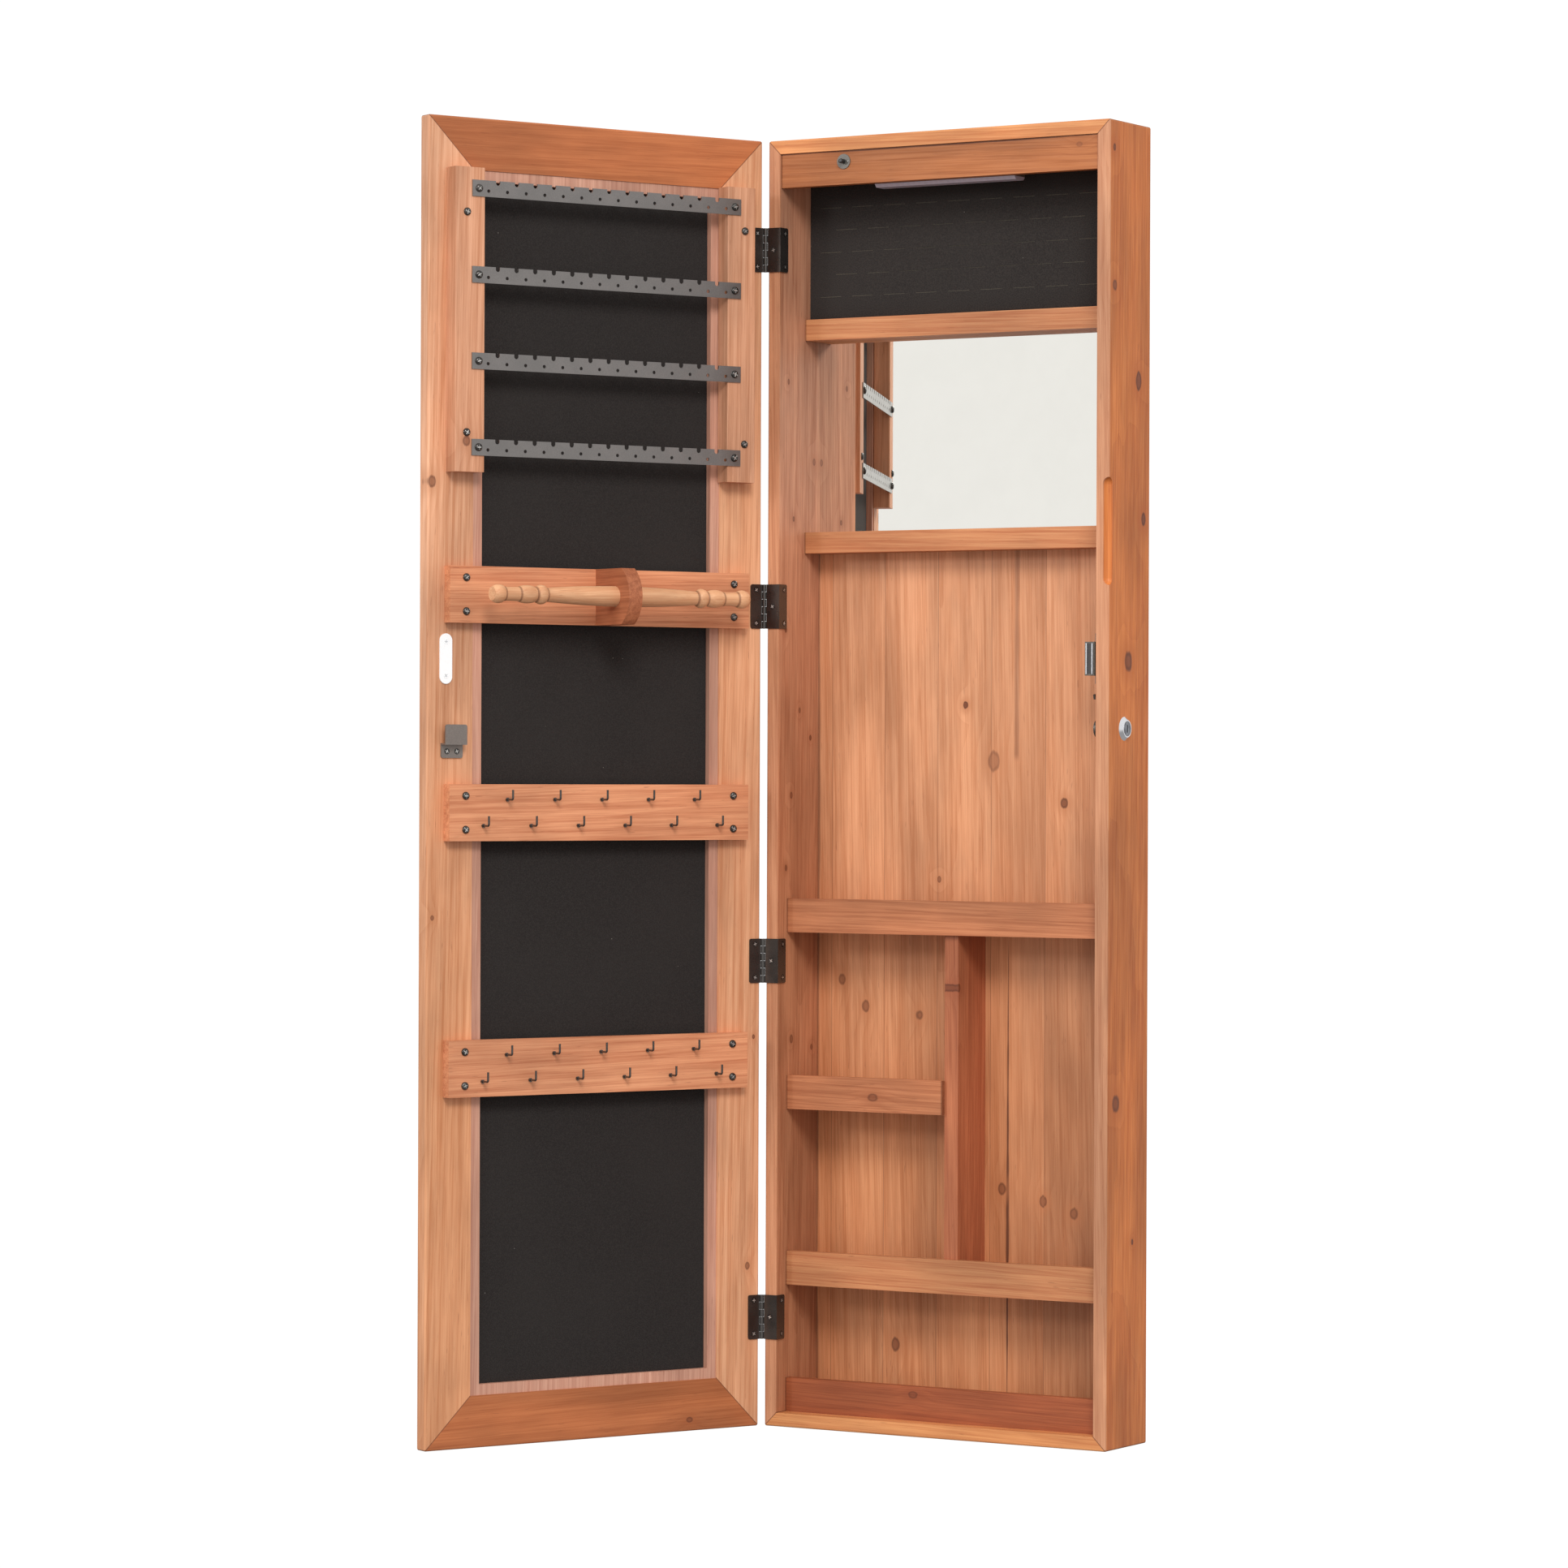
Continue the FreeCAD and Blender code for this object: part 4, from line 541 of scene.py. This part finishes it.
def slitRows(low, high):
    middle = (low.z + high.z) / 2
    rows = []
    for index in range(cushion["rows"]):
        height = middle + (index - (cushion["rows"] - 1) / 2) * cushion["rowPitch"] / 1000
        shift = cushion["pitch"] / 2000 if index % 2 else 0.0
        spots = []
        x = low.x + cushion["firstGap"] / 1000 + shift
        while x + cushion["slit"] / 1000 < high.x - cushion["lastGap"] / 1000:
            spots.append(x)
            x += cushion["pitch"] / 1000
        rows.append((height, spots))
    return rows


def makeCushion():
    low, high = (Vector(corner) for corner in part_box("ring_cushion"))
    bpy.ops.object.select_all(action="DESELECT")
    bpy.ops.mesh.primitive_cube_add(size=1, location=(low + high) / 2, scale=high - low)
    piece = startPiece("ring_cushion_foam")
    settle(piece)
    rows = slitRows(low, high)
    mouth = cushion["mouth"] / 2000
    slit = cushion["slit"] / 1000
    columns = sorted({round(edge, 5) for _, spots in rows for x in spots for edge in (x, x + slit)})
    bpy.ops.object.mode_set(mode="EDIT")
    cutPlanes((1, 0, 0), columns)
    levels = [height + side * mouth for height, _ in rows for side in (-1, 1)]
    levels += [(rows[i][0] + rows[i + 1][0]) / 2 for i in range(len(rows) - 1)]
    cutPlanes((0, 0, 1), levels + [low.z + cushion["rim"] / 1000, high.z - cushion["rim"] / 1000])
    cutPlanes((1, 0, 0), [low.x + cushion["rim"] / 1000, high.x - cushion["rim"] / 1000])
    bpy.ops.mesh.select_mode(type="FACE")
    bpy.ops.mesh.select_all(action="DESELECT")
    bpy.ops.object.mode_set(mode="OBJECT")
    front = low.y
    for face in piece.data.polygons:
        center = face.center
        inRow = [spots for height, spots in rows if abs(center.z - height) < mouth]
        onFront = abs(center.y - front) < hairsbreadth
        face.select = bool(onFront and inRow and any(x < center.x < x + slit for x in inRow[0]))
    bpy.ops.object.mode_set(mode="EDIT")
    bpy.ops.mesh.extrude_region_move(TRANSFORM_OT_translate={"value": (0, cushion["depth"] / 1000, 0)})
    bpy.ops.object.mode_set(mode="OBJECT")
    piece.data.materials.append(feltMaterial("black ring velvet", feltLook["velvet"], False))
    piece.data.materials.append(feltMaterial("frayed slit foam", feltLook["fray"], False))
    for face in piece.data.polygons:
        face.material_index = 1 if face.select else 0
    middle = (low + high) / 2
    half = (high - low) / 2
    for vertex in piece.data.vertices:
        spot = vertex.co
        if spot.y < front + hairsbreadth:
            # The rim turns back and the field swells
            reach = min((half.x - abs(spot.x - middle.x)), (half.z - abs(spot.z - middle.z))) * 1000
            rim = max(0.0, 1 - reach / cushion["rim"]) ** 2
            bow = max(abs(spot.x - middle.x) / half.x, abs(spot.z - middle.z) / half.z) ** 2
            spot.y += (cushion["turned"] * rim + cushion["crown"] * bow) / 1000
    selectOnly(piece)
    bpy.ops.object.shade_smooth_by_angle(angle=math.radians(cushion["smooth"]))
    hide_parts("ring_cushion")
    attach(piece, "cabinet")


makeCushion()
print("ring cushion made")


# Screw heads with a cross recess, modelled once for each size and copied to every hole
panHead = dict(radius=3.7, height=2.2, skirt=0.6, recess=(1.0, 4.6, 0.7))
flatHead = dict(radius=2.55, height=0.2, skirt=0.9, recess=(0.8, 3.6, 0.2))
tinyHead = dict(radius=1.0, height=0.25, skirt=0.2, recess=(0.3, 1.4, 0.2))
headShape = dict(sides=28, dome=0.92, domeRings=6, smooth=35, firstTurn=12, turnStep=37)


def screwHead(size, pieceName):
    radius = size["radius"] / 1000
    tall = size["height"] / 1000
    skirt = size["skirt"] / 1000
    bpy.ops.object.select_all(action="DESELECT")
    bpy.ops.mesh.primitive_cylinder_add(vertices=headShape["sides"], radius=radius, depth=tall + skirt,
                                        location=(0, 0, (tall - skirt) / 2))
    head = startPiece(pieceName)
    settle(head)
    if tall > skirt / 2:
        for edge in head.data.edges:
            edge.select = all(head.data.vertices[i].co.z > tall - 1e-6 for i in edge.vertices)
        for face in head.data.polygons:
            face.select = False
        bpy.ops.object.mode_set(mode="EDIT")
        bpy.ops.mesh.select_mode(type="EDGE")
        bpy.ops.mesh.bevel(offset=tall * headShape["dome"], segments=headShape["domeRings"], profile=0.5)
        bpy.ops.object.mode_set(mode="OBJECT")
    wide, long, deep = (value / 1000 for value in size["recess"])
    bars = []
    for scale in ((wide, long, 2 * deep), (long, wide, 2 * deep)):
        bpy.ops.object.select_all(action="DESELECT")
        bpy.ops.mesh.primitive_cube_add(size=1, location=(0, 0, tall), scale=scale)
        bars.append(startPiece("cross bar"))
        settle(bars[-1])
    for bar in bars:
        recess = head.modifiers.new("cross recess", "BOOLEAN")
        recess.object = bar
        recess.solver = "EXACT"
        selectOnly(head)
        bpy.ops.object.modifier_apply(modifier=recess.name)
    for bar in bars:
        bpy.data.objects.remove(bar)
    head.data.materials.append(metals["darkScrew"])
    head.data.materials.append(metals["screwCrossHighlight"])
    # The floor of each cross recess is painted near white as a highlight
    for face in head.data.polygons:
        face.material_index = 1 if abs(face.center.z - (tall - deep)) < 1e-6 else 0
    selectOnly(head)
    bpy.ops.object.shade_smooth_by_angle(angle=math.radians(headShape["smooth"]))
    return head


def headMatrix(spot, normal, turn):
    place = Matrix.Translation([value / 1000 for value in spot])
    facing = Vector(normal).to_track_quat("Z", "Y").to_matrix().to_4x4()
    return place @ facing @ Matrix.Rotation(math.radians(turn), 4, "Z")


def screwSet(pieceName, pattern, spots, onDoor, replaced=None, bright=()):
    copies = []
    for index, (spot, normal) in enumerate(spots):
        copy = pattern.copy()
        copy.data = pattern.data.copy()
        # The strike screws take the painted white reflection too
        if index in bright:
            copy.data.materials[0] = metals["paintedReflectionZinc"]
            copy.data.materials[1] = metals["brightZinc"]
        bpy.context.collection.objects.link(copy)
        matrix = headMatrix(spot, normal, headShape["turnStep"] * index + headShape["firstTurn"])
        copy.data.transform(doorMatrix() @ matrix if onDoor else matrix)
        copies.append(copy)
    bpy.ops.object.select_all(action="DESELECT")
    for copy in copies:
        copy.select_set(True)
    bpy.context.view_layer.objects.active = copies[0]
    bpy.ops.object.join()
    piece = startPiece(pieceName)
    if replaced:
        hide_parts(replaced)
    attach(piece, "door" if onDoor else "cabinet")


earringScrews = dict(barX=140, barY=-66.1, barTop=543, barPitch=78.8, bars=4, stripX=152, stripY=-67.3,
                     stripZ=(521, 320))
boardScrews = dict(middle=1.5, reach=146.5, face=-73.3, rise=15.5, boards=(172.5, -27, -261))
hingeScrews = dict(heights=(506, 168, -168, -506), rise=15.8, doorX=-176.75, doorY=-82.6, frontX=-176.5,
                   frontY=-82.2, flangeX=-168.8, flangeY=-73.2)
strikeScrews = dict(x=163.8, y=-82.6, z=113.6, spread=15.5)
keeperScrews = dict(x=157.4, y=-82.3, z=29, spread=5.25)
switchScrews = dict(x=-101, y=-80, z=586, spread=4.7)
catchScrews = dict(x=168.6, y=-73.1, z=116, spread=19.25)

inward = (0, 1, 0)
outward = (0, -1, 0)
bothSides = (-1, 1)
earringSpots = []
for bar in range(earringScrews["bars"]):
    z = earringScrews["barTop"] - bar * earringScrews["barPitch"]
    earringSpots += [((side * earringScrews["barX"], earringScrews["barY"], z), inward) for side in bothSides]
for z in earringScrews["stripZ"]:
    earringSpots += [((side * earringScrews["stripX"], earringScrews["stripY"], z), inward) for side in bothSides]
boardSpots = []
for z in boardScrews["boards"]:
    for side in bothSides:
        x = boardScrews["middle"] + side * boardScrews["reach"]
        boardSpots += [((x, boardScrews["face"], z + lift * boardScrews["rise"]), inward) for lift in bothSides]
doorSpots = [((hingeScrews["doorX"], hingeScrews["doorY"], z + side * hingeScrews["rise"]), inward)
             for z in hingeScrews["heights"] for side in bothSides]
doorSpots += [((strikeScrews["x"], strikeScrews["y"], strikeScrews["z"] + side * strikeScrews["spread"]), inward)
              for side in bothSides]
doorSpots += [((keeperScrews["x"] + side * keeperScrews["spread"], keeperScrews["y"], keeperScrews["z"]), inward)
              for side in bothSides]
cabinetSpots = []
for z in hingeScrews["heights"]:
    cabinetSpots.append(((hingeScrews["frontX"], hingeScrews["frontY"], z), outward))
    for side in bothSides:
        flange = (hingeScrews["flangeX"], hingeScrews["flangeY"], z + side * hingeScrews["rise"])
        cabinetSpots.append((flange, (1, 0, 0)))
cabinetSpots += [((catchScrews["x"], catchScrews["y"], catchScrews["z"] + side * catchScrews["spread"]), (-1, 0, 0))
                 for side in bothSides]
switchSpots = [((switchScrews["x"] + side * switchScrews["spread"], switchScrews["y"], switchScrews["z"]), outward)
               for side in bothSides]
strikeFirst = 2 * len(hingeScrews["heights"])

panPattern = screwHead(panHead, "pan head")
flatPattern = screwHead(flatHead, "flat head")
tinyPattern = screwHead(tinyHead, "tiny head")
screwSet("earring_rack_heads", panPattern, earringSpots, True, "earring_screws")
screwSet("board_screw_heads", panPattern, boardSpots, True, "board_screws")
screwSet("door_hardware_heads", flatPattern, doorSpots, True, "door_hardware_screws",
         bright=(strikeFirst, strikeFirst + 1))
screwSet("cabinet_hardware_heads", flatPattern, cabinetSpots, False, "cabinet_hardware_screws")
screwSet("switch_plate_heads", tinyPattern, switchSpots, False)
for pattern in (panPattern, flatPattern, tinyPattern):
    bpy.data.objects.remove(pattern)
print("screw heads made")


# White studio: soft light from the front and above, darker below
studio = dict(worldLow=0.34, worldHigh=0.86, horizon=(-0.55, 0.05), backdrop=1.05,
              keyPlace=(2.3, -3.2, 2.6), keySize=1.6, keyPower=110,
              fillPlace=(-1.9, -4.2, 1.5), fillSize=1.0, fillPower=42)


def areaLight(lightName, place, size, power):
    bpy.ops.object.light_add(type="AREA", location=place)
    lamp = bpy.context.active_object
    lamp.name = lightName
    lamp.data.shape = "DISK"
    lamp.data.size = size
    lamp.data.energy = power
    lamp.rotation_euler = (-Vector(place)).to_track_quat("-Z", "Y").to_euler()


def whiteWorld():
    world = bpy.data.worlds.new("white studio")
    bpy.context.scene.world = world
    world.use_nodes = True
    tree = world.node_tree
    direction = node(tree, "ShaderNodeTexCoord").outputs["Generated"]
    facing = node(tree, "ShaderNodeSeparateXYZ", {0: direction}).outputs[2]
    glow = smooth(tree, facing, *studio["horizon"], studio["worldLow"], studio["worldHigh"])
    seen = node(tree, "ShaderNodeLightPath").outputs["Is Camera Ray"]
    strength = maths(tree, "MULTIPLY_ADD", seen, maths(tree, "SUBTRACT", studio["backdrop"], glow), glow)
    background = tree.nodes["Background"]
    background.inputs["Color"].default_value = (1, 1, 1, 1)
    tree.links.new(strength, background.inputs["Strength"])


# Solved from the corners of the box and the door in the photograph
view = dict(place=(2.4708, -4.4109, 0.0133), yaw=31.316, pitch=-0.153, roll=0.2015, lens=122.84, sensor=36)


def makeCamera():
    yaw, pitch, roll = (math.radians(view[key]) for key in ("yaw", "pitch", "roll"))
    ahead = Vector((-math.sin(yaw) * math.cos(pitch), math.cos(yaw) * math.cos(pitch), math.sin(pitch)))
    flat = Vector((math.cos(yaw), math.sin(yaw), 0))
    upright = flat.cross(ahead)
    right = math.cos(roll) * flat + math.sin(roll) * upright
    up = math.cos(roll) * upright - math.sin(roll) * flat
    turn = Matrix((right, up, -ahead)).transposed().to_4x4()
    bpy.ops.object.camera_add()
    camera = bpy.context.active_object
    camera.name = "photograph view"
    camera.matrix_world = Matrix.Translation(view["place"]) @ turn
    camera.data.sensor_width = view["sensor"]
    camera.data.lens = view["lens"]
    bpy.context.scene.camera = camera


areaLight("key softbox", studio["keyPlace"], studio["keySize"], studio["keyPower"])
areaLight("fill softbox", studio["fillPlace"], studio["fillSize"], studio["fillPower"])
whiteWorld()
makeCamera()
bpy.context.scene.view_settings.view_transform = "Standard"
print("studio ready")
